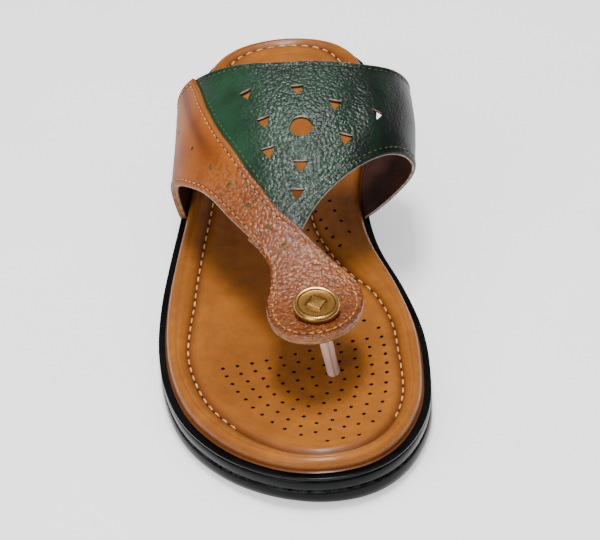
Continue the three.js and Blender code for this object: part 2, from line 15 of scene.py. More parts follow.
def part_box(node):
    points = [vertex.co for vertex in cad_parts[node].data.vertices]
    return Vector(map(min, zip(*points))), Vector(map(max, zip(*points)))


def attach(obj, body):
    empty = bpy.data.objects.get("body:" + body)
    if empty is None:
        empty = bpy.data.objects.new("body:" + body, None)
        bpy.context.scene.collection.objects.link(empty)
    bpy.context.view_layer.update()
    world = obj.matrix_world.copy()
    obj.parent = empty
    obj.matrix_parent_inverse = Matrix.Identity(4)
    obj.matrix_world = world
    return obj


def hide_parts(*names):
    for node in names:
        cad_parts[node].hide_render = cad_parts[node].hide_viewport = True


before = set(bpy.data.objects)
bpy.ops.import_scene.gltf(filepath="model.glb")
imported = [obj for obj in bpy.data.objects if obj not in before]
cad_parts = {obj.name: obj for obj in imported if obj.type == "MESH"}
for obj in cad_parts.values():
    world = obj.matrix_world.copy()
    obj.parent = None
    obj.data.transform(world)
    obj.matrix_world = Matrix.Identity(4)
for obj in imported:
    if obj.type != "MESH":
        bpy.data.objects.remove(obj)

LOG = logging.getLogger("sandal")
BODY = "root"
MM = 0.001
Array = np.ndarray
Grid = tuple[Array, Array]


class Thread(Enum):
    """Sewing thread, by the leather it is sewn in."""

    PEACH = "peach"
    AMBER = "amber"
    OLIVE = "olive"


@dataclass(frozen=True)
class Table:
    """Sections of a form: a row for each section, and a named column for each of its sizes."""

    names: tuple[str, ...]
    rows: tuple[tuple[float, ...], ...]

    def column(self, name: str, x: Array | float) -> Array:
        """Reads one column as a smooth curve of the first one.

        Cubic Hermite pieces whose slope at a row is the rise between its two neighbours, and
        level at peaks and flats.

        Args:
            name: The column.
            x: Places along the first column.

        Returns:
            The column's value at each place.
        """
        data = np.array(self.rows, float)
        at, value = data[:, 0], data[:, self.names.index(name)]
        rise = np.diff(value) / np.diff(at)
        middle = (value[2:] - value[:-2]) / (at[2:] - at[:-2])
        inner = np.where(rise[:-1] * rise[1:] > 0, middle, 0)
        slope = np.concatenate([rise[:1], inner, rise[-1:]])
        x = np.asarray(x, float)
        i = np.clip(np.searchsorted(at, x) - 1, 0, len(at) - 2)
        span = at[i + 1] - at[i]
        t = np.clip((x - at[i]) / span, 0, 1)
        return (
            (2 * t**3 - 3 * t**2 + 1) * value[i] + (t**3 - 2 * t**2 + t) * span * slope[i]
            + (3 * t**2 - 2 * t**3) * value[i + 1] + (t**3 - t**2) * span * slope[i + 1]
        )


LENGTH = 246.0
"""Sole at its rim, heel to toe, in millimetres."""

# The sole's rim seen from above: where its two edges lie, across from the shoe's middle line.
PLAN = Table(("from_heel", "lateral", "medial"), (
    (3.5, -12.5, 21), (10, -21, 29), (22, -27.5, 35), (45, -31.2, 36), (70, -33.6, 32.2),
    (95, -36.8, 28.4), (120, -41.3, 30.6), (145, -45, 38.2), (170, -46.2, 43.2), (192, -43.9, 43.6),
    (212, -37.5, 41.5), (230, -25, 34.2), (240, -12.8, 25.8), (244.5, -3.8, 17.5),
))
HEEL_TIP = (4.5, 0.0)
TOE_TIP = (6.5, LENGTH)

# Heights of the sole: its rim, the step half way up its side, and its underside at both edges.
HEIGHTS = Table(("from_heel", "rim", "step", "floor_lateral", "floor_medial"), (
    (0, 38, 21.5, 0, 0), (25, 35.8, 21, 0, 0), (50, 31.2, 19.5, 0, 0), (70, 26.8, 17, 2.4, 5.2),
    (90, 22.6, 14.6, 4, 8.2), (115, 18.6, 11.6, 2.6, 5.6), (145, 15.2, 8.6, 0, 0), (175, 13, 6.6, 0, 0),
    (208, 12, 5.9, 0, 0), (230, 12.4, 6.5, 0.9, 0.2), (246, 13.6, 7.8, 2.6, 1.6),
))

GROOVE = Table(("from_heel", "lateral", "medial"), (
    (0, 5.2, 5.2), (12, 6.2, 7), (30, 7.6, 8.2), (60, 9, 12), (85, 9.4, 17), (105, 9.5, 19),
    (125, 9.8, 16), (136, 10, 13.5), (147, 10.1, 10), (163, 9.1, 8.2), (182, 7.6, 8.1), (205, 7.7, 6.9),
    (225, 7.9, 6.2), (246, 7.2, 7.2),
))
"""How far in from the plan the sewn groove runs."""

# The last: its crest's place and height, and the handles that say how broad the crest is and how
# far each side swells past the sole.
LAST = Table(
    ("from_heel", "across", "crest", "broad_medial", "broad_lateral", "swell_medial", "swell_lateral"), (
        (36, 6, 94, 30, 34, 12, 9), (64, 7, 91, 39, 37, 27, 9), (95, 7.5, 85.8, 42, 37, 37, 7),
        (117, 7.8, 81.5, 37, 31, 33, 4.5), (130, 7.5, 75.4, 32, 25, 27, 1.5),
        (145, 6.3, 66, 27, 20, 17, -2.5), (160, 4.8, 56, 24, 19, 9, -4), (174, 5.5, 47.8, 26, 22, 6, 0),
        (193, 8, 43.2, 30, 32, 5, 4), (215, 8.5, 44, 32, 34, 4, 4),
    ),
)
SWELL_LEVEL = 0.45  # height of the side handle between sole and crest
STRAP_FOOT = 1.3  # outer face of the straps at the sole, outside the plan
GAP = 0.3  # air left between two pieces that touch
AROUND_MM = 90.0  # about how many millimetres one unit of around is, to measure pattern lines by
DRAWN = 600  # points on a pattern edge that is drawn from a table

# Edges of the band and the overlay on the last, and the neck's two sides across it. Round runs from
# -1 at the lateral sole over the crest at 0 to 1 at the medial sole.
HEEL_EDGE = Table(("round", "from_heel"), (
    (-1, 50), (-0.75, 63), (-0.5, 76.5), (-0.25, 89), (0, 97), (0.2, 95.5), (0.4, 87.5), (0.6, 78),
    (0.8, 68), (1, 60),
))
MEDIAL_EDGE = Table(("round", "from_heel"), (
    (0, 162), (0.1, 151.5), (0.2, 143), (0.3, 135.5), (0.4, 129), (0.5, 124), (0.58, 120.5),
    (0.7, 114.5), (0.85, 108), (1, 105),
))
LATERAL_EDGE = Table(("round", "from_heel"), (
    (-1, 97.5), (-0.9, 99.5), (-0.8, 104), (-0.7, 112.5), (-0.6, 123), (-0.5, 134), (-0.4, 148),
    (-0.28, 160),
))
NECK = Table(("from_heel", "lateral", "medial"), (
    (156, -15.5, 1), (160, -13.6, 3.4), (166, -9.6, 8.2), (172, -6.8, 14.4), (177, -6.6, 19.4),
    (182, -7.4, 22.9), (190, -8.8, 23.8), (215, -10, 22.2),
))
NECK_ROOT = (160.0, 162.0)
TAB_END = (190.0, 213.0)
# Where the overlay ends on the green leather, from the heel edge down to the neck.
SEAM = Table(("from_heel", "round"), (
    (78, -0.47), (90, -0.425), (102, -0.39), (116, -0.36), (127, -0.32), (137, -0.275), (146, -0.21),
    (154, -0.13), (162, 0),
))
PEAK_ROUND = -0.47


def plan_ring(count: int) -> tuple[Array, Array]:
    """Walks once round the sole's plan, heel to medial side to toe and back.

    A closed centripetal Catmull-Rom curve through the plan's rows, sampled at equal steps of arc
    and then softened by a short Gaussian window, so that highlights run along it without kinks.

    Args:
        count: How many points.

    Returns:
        The points (across, from heel) and their outward directions, both count by 2.
    """
    rows = np.array(PLAN.rows)
    corners = np.concatenate([
        [HEEL_TIP], rows[:, [2, 0]], [TOE_TIP], rows[::-1, [1, 0]],
    ])
    p = [np.roll(corners, shift, axis=0)[:, None] for shift in (1, 0, -1, -2)]
    d = [np.sqrt(np.linalg.norm(p[k + 1] - p[k], axis=2, keepdims=True)) for k in range(3)]
    start = ((p[1] - p[0]) / d[0] - (p[2] - p[0]) / (d[0] + d[1]) + (p[2] - p[1]) / d[1]) * d[1]
    end = ((p[2] - p[1]) / d[1] - (p[3] - p[1]) / (d[1] + d[2]) + (p[3] - p[2]) / d[2]) * d[1]
    t = np.linspace(0, 1, 60, endpoint=False)[None, :, None]
    curve = p[1] + start * t + (3 * (p[2] - p[1]) - 2 * start - end) * t**2 \
        + (2 * (p[1] - p[2]) + start + end) * t**3
    points = resample(curve.reshape(-1, 2), count, closed=True)
    window = np.exp(-0.5 * (np.arange(-count // 2, count // 2) / (count * 0.008)) ** 2)
    spectrum = np.fft.fft(np.fft.ifftshift(window / window.sum()))
    points = np.stack([np.fft.ifft(np.fft.fft(axis) * spectrum).real for axis in points.T], axis=1)
    along = np.roll(points, -1, axis=0) - np.roll(points, 1, axis=0)
    along /= np.linalg.norm(along, axis=1, keepdims=True)
    return points, np.stack([along[:, 1], -along[:, 0]], axis=1)


def resample(points: Array, count: int, closed: bool = False) -> Array:
    """Spreads points evenly along a polyline, by its running length.

    Args:
        points: The polyline, n by any number of coordinates.
        count: How many points to return.
        closed: Whether the polyline closes on its first point, which is then not repeated.

    Returns:
        The even points, count by the same number of coordinates.
    """
    line = np.concatenate([points, points[:1]]) if closed else points
    run = np.concatenate([[0], np.cumsum(np.linalg.norm(np.diff(line, axis=0), axis=1))])
    at = np.linspace(0, run[-1], count, endpoint=not closed)
    return np.stack([np.interp(at, run, axis) for axis in line.T], axis=1)


def soften(points: Array, reach: int) -> Array:
    """Rounds off a polyline's kinks by a Gaussian window that many points wide, its ends kept.

    Args:
        points: The polyline, n by any number of coordinates.
        reach: The window's reach, in points.

    Returns:
        The softened points.
    """
    window = np.exp(-0.5 * (np.arange(-3 * reach, 3 * reach + 1) / reach) ** 2)
    ends = [2 * points[:1] - points[3 * reach:0:-1], points, 2 * points[-1:] - points[-2:-3 * reach - 2:-1]]
    padded = np.concatenate(ends)
    return np.stack([np.convolve(axis, window / window.sum(), "valid") for axis in padded.T], axis=1)


def shift_to_frame() -> Array:
    """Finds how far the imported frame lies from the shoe's own middle line, in millimetres.

    Returns:
        The shift from the shoe's own axes to the frame's, in millimetres.
    """
    points, outward = plan_ring(480)
    widest = points + outward * Sole.SIDE_REACH
    low = np.array(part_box("outsole")[0]) / MM
    return np.array([low[0] - widest[:, 0].min(), 0.0, 0.0])


def last_point(around: Array, from_heel: Array) -> Array:
    """Places points on the last under the straps.

    Each section is two Bezier arcs from the crest to the soles' edges: at the crest they run
    level for the section's breadth, and at the sole they come in from its swell.

    Args:
        around: From -1 at the lateral sole over the crest at 0 to 1 at the medial sole.
        from_heel: Station along the sole, in millimetres.

    Returns:
        Points in millimetres, on the shoe's own axes.
    """
    side = np.where(around < 0, -1.0, 1.0)
    t = np.abs(around)[..., None]

    def of(kind: str, table: Table = LAST) -> Array:
        """Reads the column of the side that a point lies on."""
        return np.where(
            side < 0, table.column(f"{kind}lateral", from_heel), table.column(f"{kind}medial", from_heel),
        )

    y = LENGTH / 2 - from_heel
    top = LAST.column("crest", from_heel)
    base = HEIGHTS.column("rim", from_heel) + GAP
    crest_x = LAST.column("across", from_heel)
    foot_x = of("", PLAN) + side * STRAP_FOOT
    crest = np.stack([crest_x, y, top], axis=-1)
    shoulder = np.stack([crest_x + side * of("broad_"), y, top], axis=-1)
    flank = np.stack([foot_x + side * of("swell_"), y, base + SWELL_LEVEL * (top - base)], axis=-1)
    foot = np.stack([foot_x, y, base], axis=-1)
    return (1 - t) ** 3 * crest + 3 * (1 - t) ** 2 * t * shoulder + 3 * (1 - t) * t**2 * flank + t**3 * foot


def off_last(around: Array, from_heel: Array, out: Array | float) -> Array:
    """Places points off the last along its outward normal, in millimetres; level at the sole.

    Args:
        around: From -1 at the lateral sole to 1 at the medial sole.
        from_heel: Station along the sole.
        out: How far off the last.

    Returns:
        Points in millimetres, on the shoe's own axes.
    """
    point = last_point(around, from_heel)
    about = last_point(around + 0.01, from_heel) - last_point(around - 0.01, from_heel)
    along = last_point(around, from_heel + 1) - last_point(around, from_heel - 1)
    normal = np.cross(along, about)
    normal /= np.linalg.norm(normal, axis=-1, keepdims=True)
    outer = point + normal * np.broadcast_to(out, around.shape)[..., None]
    outer[..., 2] = np.where(np.abs(around) == 1, point[..., 2], outer[..., 2])
    return outer


def around_at(across: Array, from_heel: Array) -> Array:
    """Finds how far round the last a place lies from how far across it is, by halving.

    Args:
        across: How far across, in millimetres.
        from_heel: Station along the sole.

    Returns:
        How far round each place lies.
    """
    low, high = np.full(across.shape, -0.7), np.full(across.shape, 0.7)
    for _ in range(36):
        middle = (low + high) / 2
        below = last_point(middle, from_heel)[..., 0] < across
        low, high = np.where(below, middle, low), np.where(below, high, middle)
    return (low + high) / 2


def neck_place(across: Array, down: Array) -> Grid:
    """Places the neck and tab: across 0 to 1 from lateral to medial, down 0 to 1 to the round end.

    The end is half an ellipse: a line's end lies further out by the root of 1 - (2 across - 1)^2.

    Args:
        across: From 0 at the lateral edge to 1 at the medial edge.
        down: From 0 at the neck's root to 1 at its round end.

    Returns:
        Around and from-heel values.
    """
    root = NECK_ROOT[0] + (NECK_ROOT[1] - NECK_ROOT[0]) * across
    bow = np.sqrt(np.maximum(0, 1 - (2 * across - 1) ** 2))
    end = TAB_END[0] + (TAB_END[1] - TAB_END[0]) * bow
    from_heel = root + (end - root) * down
    lateral, medial = NECK.column("lateral", from_heel), NECK.column("medial", from_heel)
    return around_at(lateral + (medial - lateral) * across, from_heel), from_heel


def fractions(count: int, length: float) -> Array:
    """Spaces grid lines from 0 to 1: a few close to both ends, for rolled edges, and even between.

    Args:
        count: Lines in the even stretch.
        length: The real length that 1 stands for, in millimetres.

    Returns:
        The fractions.
    """
    close = np.array([0, 0.12, 0.3, 0.55, 0.9]) / length
    return np.concatenate([close, np.linspace(1.5 / length, 1 - 1.5 / length, count), (1 - close)[::-1]])


def coons(bottom: Array, top: Array, left: Array, right: Array) -> Grid:
    """Fills a patch between four edges (around, from heel) by Coons' blend of opposite edges.

    Args:
        bottom: Edge at v = 0, along u.
        top: Edge at v = 1, along u.
        left: Edge at u = 0, along v.
        right: Edge at u = 1, along v.

    Returns:
        The patch's around and from-heel values, v by u.
    """
    u = running(bottom)[None, :, None] * 0.5 + running(top)[None, :, None] * 0.5
    v = running(left)[:, None, None] * 0.5 + running(right)[:, None, None] * 0.5
    ruled = (1 - v) * bottom[None] + v * top[None] + (1 - u) * left[:, None] + u * right[:, None]
    corners = (1 - u) * (1 - v) * bottom[0] + u * (1 - v) * bottom[-1] \
        + (1 - u) * v * top[0] + u * v * top[-1]
    patch = ruled - corners
    return patch[..., 0], patch[..., 1]


def running(edge: Array) -> Array:
    """Measures the running length along an edge of the pattern, from 0 to 1.

    Args:
        edge: Points (around, from heel) along the edge.

    Returns:
        The running length at each point.
    """
    step = np.diff(edge, axis=0) * np.array([AROUND_MM, 1.0])
    run = np.concatenate([[0], np.cumsum(np.linalg.norm(step, axis=1))])
    return run / run[-1]


def edge_distance(points: Array) -> Array:
    """Measures how far each point of a grid lies from the grid's edge, along its lines.

    Args:
        points: The grid, v by u by 3.

    Returns:
        The distances, v by u.
    """
    distance = np.full(points.shape[:2], np.inf)
    for axis in (0, 1):
        step = np.linalg.norm(np.diff(points, axis=axis), axis=2)
        run = np.insert(np.cumsum(step, axis=axis), 0, 0, axis=axis)
        total = np.take(run, [-1], axis=axis)
        distance = np.minimum(distance, np.minimum(run, total - run))
    return distance


def roll_off(distance: Array, radius: float) -> Array:
    """Drops a surface toward its edge by a quarter circle: radius - sqrt(radius^2 - (radius - d)^2).

    Args:
        distance: Distance in from the edge.
        radius: The roll's radius.

    Returns:
        How far the surface drops.
    """
    inside = np.clip(radius - distance, 0, radius)
    return radius - np.sqrt(radius**2 - inside**2)


def grid_faces(rows: int, columns: int, wrap: bool = False) -> Array:
    """Lists a grid's quads, each from a corner across, then down; wrap joins last column to first.

    Args:
        rows: Rows of points.
        columns: Columns of points.
        wrap: Whether the last column joins the first.

    Returns:
        The corners of each quad, m by 4.
    """
    r = np.arange(rows - 1)[:, None]
    c = np.arange(columns if wrap else columns - 1)[None]
    n = (c + 1) % columns
    quads = np.stack([r * columns + c, r * columns + n, (r + 1) * columns + n, (r + 1) * columns + c], -1)
    return quads.reshape(-1, 4)


def make_piece(name: str, points: Array, faces: Array, materials: list[bpy.types.Material],
               indices: Array | None = None, attributes: dict[str, Array] | None = None) -> bpy.types.Object:
    """Makes a smooth closed mesh piece, lets it ride on the shoe and reports it.

    Args:
        name: The piece's name.
        points: Points in millimetres on the shoe's own axes, n by 3.
        faces: Corners of its quads, m by 4.
        materials: Its finishes.
        indices: Which finish each face takes.
        attributes: Numbers kept on its points, read by the materials.

    Returns:
        The piece.
    """
    mesh = bpy.data.meshes.new(name)
    mesh.from_pydata(((points + SHIFT) * MM).tolist(), [], faces.tolist())
    for material in materials:
        mesh.materials.append(material)
    if indices is not None:
        mesh.polygons.foreach_set("material_index", indices.astype(np.int32))
    for key, values in (attributes or {}).items():
        numbers = mesh.attributes.new(key, "FLOAT", "POINT").data
        numbers.foreach_set("value", values.astype(np.float32).ravel())
    close_up(mesh)
    mesh.polygons.foreach_set("use_smooth", np.ones(len(mesh.polygons), bool))
    piece = bpy.data.objects.new(name, mesh)
    bpy.context.scene.collection.objects.link(piece)
    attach(piece, BODY)
    LOG.info("%s: %d faces", name, len(mesh.polygons))
    return piece


def close_up(mesh: bpy.types.Mesh) -> None:
    """Merges doubled points at poles and seams, drops collapsed faces and turns all faces outward.

    Args:
        mesh: The mesh, which is changed in place.
    """
    work = bmesh.new()
    work.from_mesh(mesh)
    bmesh.ops.remove_doubles(work, verts=work.verts, dist=0.004 * MM)
    bmesh.ops.dissolve_degenerate(work, edges=work.edges, dist=0.001 * MM)
    bmesh.ops.recalc_face_normals(work, faces=work.faces)
    work.to_mesh(mesh)
    work.free()


def shell(outer: Array, inner: Array) -> tuple[Array, Array, Array]:
    """Closes two grids of one layout into a solid sheet of leather.

    Args:
        outer: Points of the grain side, v by u by 3, seen with u to the right and v up.
        inner: Points of the flesh side.

    Returns:
        All points, the quads, and the finish of each: 0 grain side, 1 flesh side, 2 cut edge.
    """
    rows, columns = outer.shape[:2]
    count = rows * columns
    top = grid_faces(rows, columns)
    number = np.arange(count).reshape(rows, columns)
    loop = np.concatenate([number[0, :-1], number[:-1, -1], number[-1, :0:-1], number[:0:-1, 0]])
    after = np.roll(loop, -1)
    rim = np.stack([after, loop, loop + count, after + count], axis=-1)
    faces = np.concatenate([top, top[:, ::-1] + count, rim])
    finish = np.repeat([0, 1, 2], [len(top), len(top), len(rim)])
    return np.concatenate([outer.reshape(-1, 3), inner.reshape(-1, 3)]), faces, finish


def cutter_object(name: str, points: Array, faces: list[list[int]],
                  wall: bpy.types.Material) -> bpy.types.Object:
    """Makes a punch's mesh, which isn't a piece and goes once it has cut.

    Args:
        name: The punch's name.
        points: Its points in millimetres, n by 3.
        faces: The corners of each face.
        wall: The finish that it leaves on the walls it cuts.

    Returns:
        The punch.
    """
    mesh = bpy.data.meshes.new(name)
    mesh.from_pydata(((points + SHIFT) * MM).tolist(), [], faces)
    mesh.materials.append(wall)
    cutter = bpy.data.objects.new(name, mesh)
    bpy.context.scene.collection.objects.link(cutter)
    return cutter


def prisms(low: Array, high: Array) -> tuple[Array, list[list[int]]]:
    """Closes pairs of rings into prisms.

    Args:
        low: Lower ring of each, n by sides by 3, anticlockwise from above.
        high: Upper ring of each.

    Returns:
        The points and faces of all of them.
    """
    count, sides = low.shape[:2]
    k = np.arange(sides)
    base = (np.arange(count) * 2 * sides)[:, None]
    wall = np.stack([k, (k + 1) % sides, (k + 1) % sides + sides, k + sides], axis=-1)
    faces = [*(wall[None] + base[..., None]).reshape(-1, 4).tolist(), *(k[::-1] + base).tolist(),
             *(k + sides + base).tolist()]
    return np.concatenate([low, high], axis=1).reshape(-1, 3), faces


def punch(piece: bpy.types.Object, cutter: bpy.types.Object) -> None:
    """Cuts a cutter out of a piece, keeps the result as its mesh and removes the cutter.

    Args:
        piece: The piece to cut.
        cutter: The punch, which is removed.
    """
    cut = piece.modifiers.new("punched", "BOOLEAN")
    cut.object, cut.operation, cut.solver, cut.material_mode = cutter, "DIFFERENCE", "EXACT", "TRANSFER"
    bpy.context.view_layer.update()
    piece.data = bpy.data.meshes.new_from_object(piece.evaluated_get(bpy.context.evaluated_depsgraph_get()))
    piece.modifiers.clear()
    piece.data.set_sharp_from_angle(angle=math.radians(50))
    bpy.data.objects.remove(cutter)
    LOG.info("%s punched: %d faces", piece.name, len(piece.data.polygons))


def srgb(hex_colour: str) -> tuple[float, float, float, float]:
    """Turns an sRGB hex colour to linear red, green, blue and alpha.

    Args:
        hex_colour: The colour, such as "#A26022".

    Returns:
        Red, green, blue and alpha.
    """
    parts = [int(hex_colour[i:i + 2], 16) / 255 for i in (1, 3, 5)]
    red, green, blue = (c / 12.92 if c <= 0.04045 else ((c + 0.055) / 1.055) ** 2.4 for c in parts)
    return (red, green, blue, 1.0)


def add(tree: bpy.types.NodeTree, kind: str, inputs: dict[str | int, object] | None = None,
        out: str | int = 0, **settings: object) -> bpy.types.NodeSocket:
    """Adds a node with its settings, its values and its links.

    Args:
        tree: The material's nodes.
        kind: The node's type, without the words that all types start with.
        inputs: A value, or an output to link from, for each named or numbered input.
        out: Which output to give back.
        settings: Properties of the node.

    Returns:
        One of the node's outputs.
    """
    node = tree.nodes.new(f"ShaderNode{kind}")
    for key, value in settings.items():
        setattr(node, key, value)
    for key, value in (inputs or {}).items():
        if isinstance(value, bpy.types.NodeSocket):
            tree.links.new(value, node.inputs[key])
        else:
            node.inputs[key].default_value = value
    return node.outputs[out]


def finish(name: str, wire: Callable[[bpy.types.NodeTree], dict[str, object]]) -> bpy.types.Material:
    """Makes a material around one shader.

    Args:
        name: The material's name, from the real material and how it was made.
        wire: Adds the pattern nodes and gives back what goes into the shader's inputs.

    Returns:
        The material.
    """
    material = bpy.data.materials.new(name)
    material.use_nodes = True
    tree = material.node_tree
    tree.nodes.clear()
    shader = add(tree, "BsdfPrincipled", wire(tree))
    output = tree.nodes.new("ShaderNodeOutputMaterial")
    tree.links.new(shader, output.inputs["Surface"])
    return material


@dataclass(frozen=True)
class PebbledLeather:
    """Chrome-tanned leather embossed with a pebble grain, pigmented and glazed.

    The glaze gives small bright glints on each pebble, and the valleys are darkened as painted shade.
    Its points carry grain, how strongly the pebble stands out, and shade, how far it is darkened.
    """

    name: str
    light: str
    middle: str
    dark: str
    pebble_mm: float
    relief_mm: float
    roughness: float
    glaze: float

    def wire(self, tree: bpy.types.NodeTree) -> dict[str, object]:
        """Adds the leather's pattern nodes."""
        size = self.pebble_mm * MM
        place = add(tree, "TexCoord", out="Object")
        warp = add(tree, "TexNoise", {"Vector": place, "Scale": 0.45 / size, "Detail": 2.0}, "Color")
        moved = add(tree, "VectorMath", {0: warp, 1: (1.3 * size,) * 3, 2: place}, operation="MULTIPLY_ADD")
        cells = add(tree, "TexVoronoi", {
            "Vector": moved, "Scale": 1 / size, "Smoothness": 0.25, "Randomness": 1.0,
        }, "Distance", feature="SMOOTH_F1")
        creases = add(tree, "TexNoise", {
            "Vector": moved, "Scale": 1.1 / size, "Detail": 4.0, "Roughness": 0.6,
        })
        fine = add(tree, "TexNoise", {"Vector": place, "Scale": 3 / size, "Detail": 3.0})
        clouds = add(tree, "TexNoise", {"Vector": place, "Scale": 1 / (22 * MM), "Detail": 2.0})
        grain = add(tree, "Attribute", out="Fac", attribute_name="grain")
        shade = add(tree, "Attribute", out="Fac", attribute_name="shade")
        cloud = add(tree, "MapRange", {"Value": clouds, "From Min": 0.36, "From Max": 0.64})
        # Painted shade: the valleys between the pebbles are mixed toward the dark colour.
        valley = add(tree, "MapRange", {"Value": cells, "From Min": 0.25, "From Max": 0.75, "To Max": 0.6})
        valley_shade = add(tree, "Math", {0: valley, 1: grain}, operation="MULTIPLY")
        base = add(tree, "Mix", {0: cloud, 6: srgb(self.middle), 7: srgb(self.light)}, 2, data_type="RGBA")
        base = add(tree, "Mix", {0: valley_shade, 6: base, 7: srgb(self.dark)}, 2, data_type="RGBA")
        base = add(tree, "Mix", {0: shade, 6: base, 7: srgb(self.dark)}, 2, data_type="RGBA")
        lumps = add(tree, "Math", {0: creases, 1: -0.8, 2: cells}, operation="MULTIPLY_ADD")
        raised = add(tree, "Math", {0: lumps, 1: grain}, operation="MULTIPLY")
        skin = add(tree, "Math", {0: fine, 1: 0.1, 2: raised}, operation="MULTIPLY_ADD")
        depth = self.relief_mm * MM
        bump = add(tree, "Bump", {"Height": skin, "Strength": 1.0, "Distance": depth}, invert=True)
        wear = add(tree, "MapRange", {
            "Value": grain, "To Min": self.roughness + 0.22, "To Max": self.roughness,
        })
        gloss = add(tree, "Math", {0: grain, 1: self.glaze}, operation="MULTIPLY")
        return {"Base Color": base, "Roughness": wear, "Normal": bump, "Coat Weight": gloss,
                "Coat Roughness": 0.18, "Coat Normal": bump, "Specular IOR Level": 0.12, "IOR": 1.45}

    def material(self) -> bpy.types.Material:
        """Makes the material."""
        return finish(self.name, self.wire)


@dataclass(frozen=True)
class BurnishedLeather:
    """Smooth vegetable-tanned leather, aniline dyed and burnished by hand.

    The dye runs from honey to chestnut in soft clouds with finer mottling. Painted shade darkens
    it in grooves and along edges, where the points carry shade. The burnish gives a soft satin gloss.
    """

    name: str
    light: str
    middle: str
    dark: str
    roughness: float
    gloss: float

    def wire(self, tree: bpy.types.NodeTree) -> dict[str, object]:
        """Adds the leather's pattern nodes."""
        place = add(tree, "TexCoord", out="Object")
        clouds = add(tree, "TexNoise", {"Vector": place, "Scale": 1 / (32 * MM), "Detail": 3.0})
        mottle = add(tree, "TexNoise", {
            "Vector": place, "Scale": 1 / (5 * MM), "Detail": 5.0, "Roughness": 0.62,
        })
        # Pores are about 0.1 mm across, too fine to show, so they are drawn at 0.6 mm.
        pores = add(tree, "TexNoise", {"Vector": place, "Scale": 1 / (0.6 * MM), "Detail": 3.0})
        shade = add(tree, "Attribute", out="Fac", attribute_name="shade")
        cloud = add(tree, "MapRange", {"Value": clouds, "From Min": 0.36, "From Max": 0.64})
        patch = add(tree, "MapRange", {"Value": mottle, "From Min": 0.35, "From Max": 0.75, "To Max": 0.3})
        base = add(tree, "Mix", {0: cloud, 6: srgb(self.middle), 7: srgb(self.light)}, 2, data_type="RGBA")
        base = add(tree, "Mix", {0: patch, 6: base, 7: srgb(self.dark)}, 2, data_type="RGBA")
        base = add(tree, "Mix", {0: shade, 6: base, 7: srgb(self.dark)}, 2, data_type="RGBA")
        relief = add(tree, "Math", {0: mottle, 1: 0.8, 2: pores}, operation="MULTIPLY_ADD")
        bump = add(tree, "Bump", {"Height": relief, "Strength": 0.5, "Distance": 0.12 * MM})
        wear = add(tree, "MapRange", {
            "Value": mottle, "From Min": 0.3, "From Max": 0.7, "To Min": self.roughness - 0.06,
            "To Max": self.roughness + 0.1,
        })
        return {"Base Color": base, "Roughness": wear, "Normal": bump, "Coat Weight": self.gloss,
                "Coat Roughness": 0.2, "Specular IOR Level": 0.14, "IOR": 1.45}

    def material(self) -> bpy.types.Material:
        """Makes the material."""
        return finish(self.name, self.wire)


@dataclass(frozen=True)
class MouldedPolyurethane:
    """Moulded black polyurethane with a glossy skin; grey in the step is dust and a painted highlight."""

    name: str
    black: str
    grey: str
    dust_and_highlight: str
    roughness: float

    def wire(self, tree: bpy.types.NodeTree) -> dict[str, object]:
        """Adds the skin's pattern nodes. Shade on its points: grey of dust and of painted highlight."""
        place = add(tree, "TexCoord", out="Object")
        clouds = add(tree, "TexNoise", {"Vector": place, "Scale": 1 / (14 * MM), "Detail": 4.0})
        streaks = add(tree, "TexNoise", {
            "Vector": place, "Scale": 1 / (2.5 * MM), "Detail": 5.0, "Roughness": 0.7,
        })
        skin = add(tree, "TexNoise", {"Vector": place, "Scale": 1 / (1.0 * MM), "Detail": 2.0})
        shade = add(tree, "Attribute", out="Fac", attribute_name="shade")
        cloud = add(tree, "MapRange", {"Value": clouds, "From Min": 0.35, "From Max": 0.65})
        patch = add(tree, "MapRange", {"Value": streaks, "From Min": 0.42, "From Max": 0.62})
        dust_and_highlight_share = add(tree, "Math", {0: patch, 1: shade}, operation="MULTIPLY")
        base = add(tree, "Mix", {0: cloud, 6: srgb(self.black), 7: srgb(self.grey)}, 2, data_type="RGBA")
        base = add(tree, "Mix", {0: dust_and_highlight_share, 6: base, 7: srgb(self.dust_and_highlight)}, 2, data_type="RGBA")
        bump = add(tree, "Bump", {"Height": skin, "Strength": 0.3, "Distance": 0.06 * MM})
        wear = add(tree, "MapRange", {
            "Value": clouds, "From Min": 0.3, "From Max": 0.7, "To Min": self.roughness - 0.05,
            "To Max": self.roughness + 0.1,
        })
        return {"Base Color": base, "Roughness": wear, "Normal": bump,
                "Specular IOR Level": 0.16, "IOR": 1.45}

    def material(self) -> bpy.types.Material:
        """Makes the material."""
        return finish(self.name, self.wire)


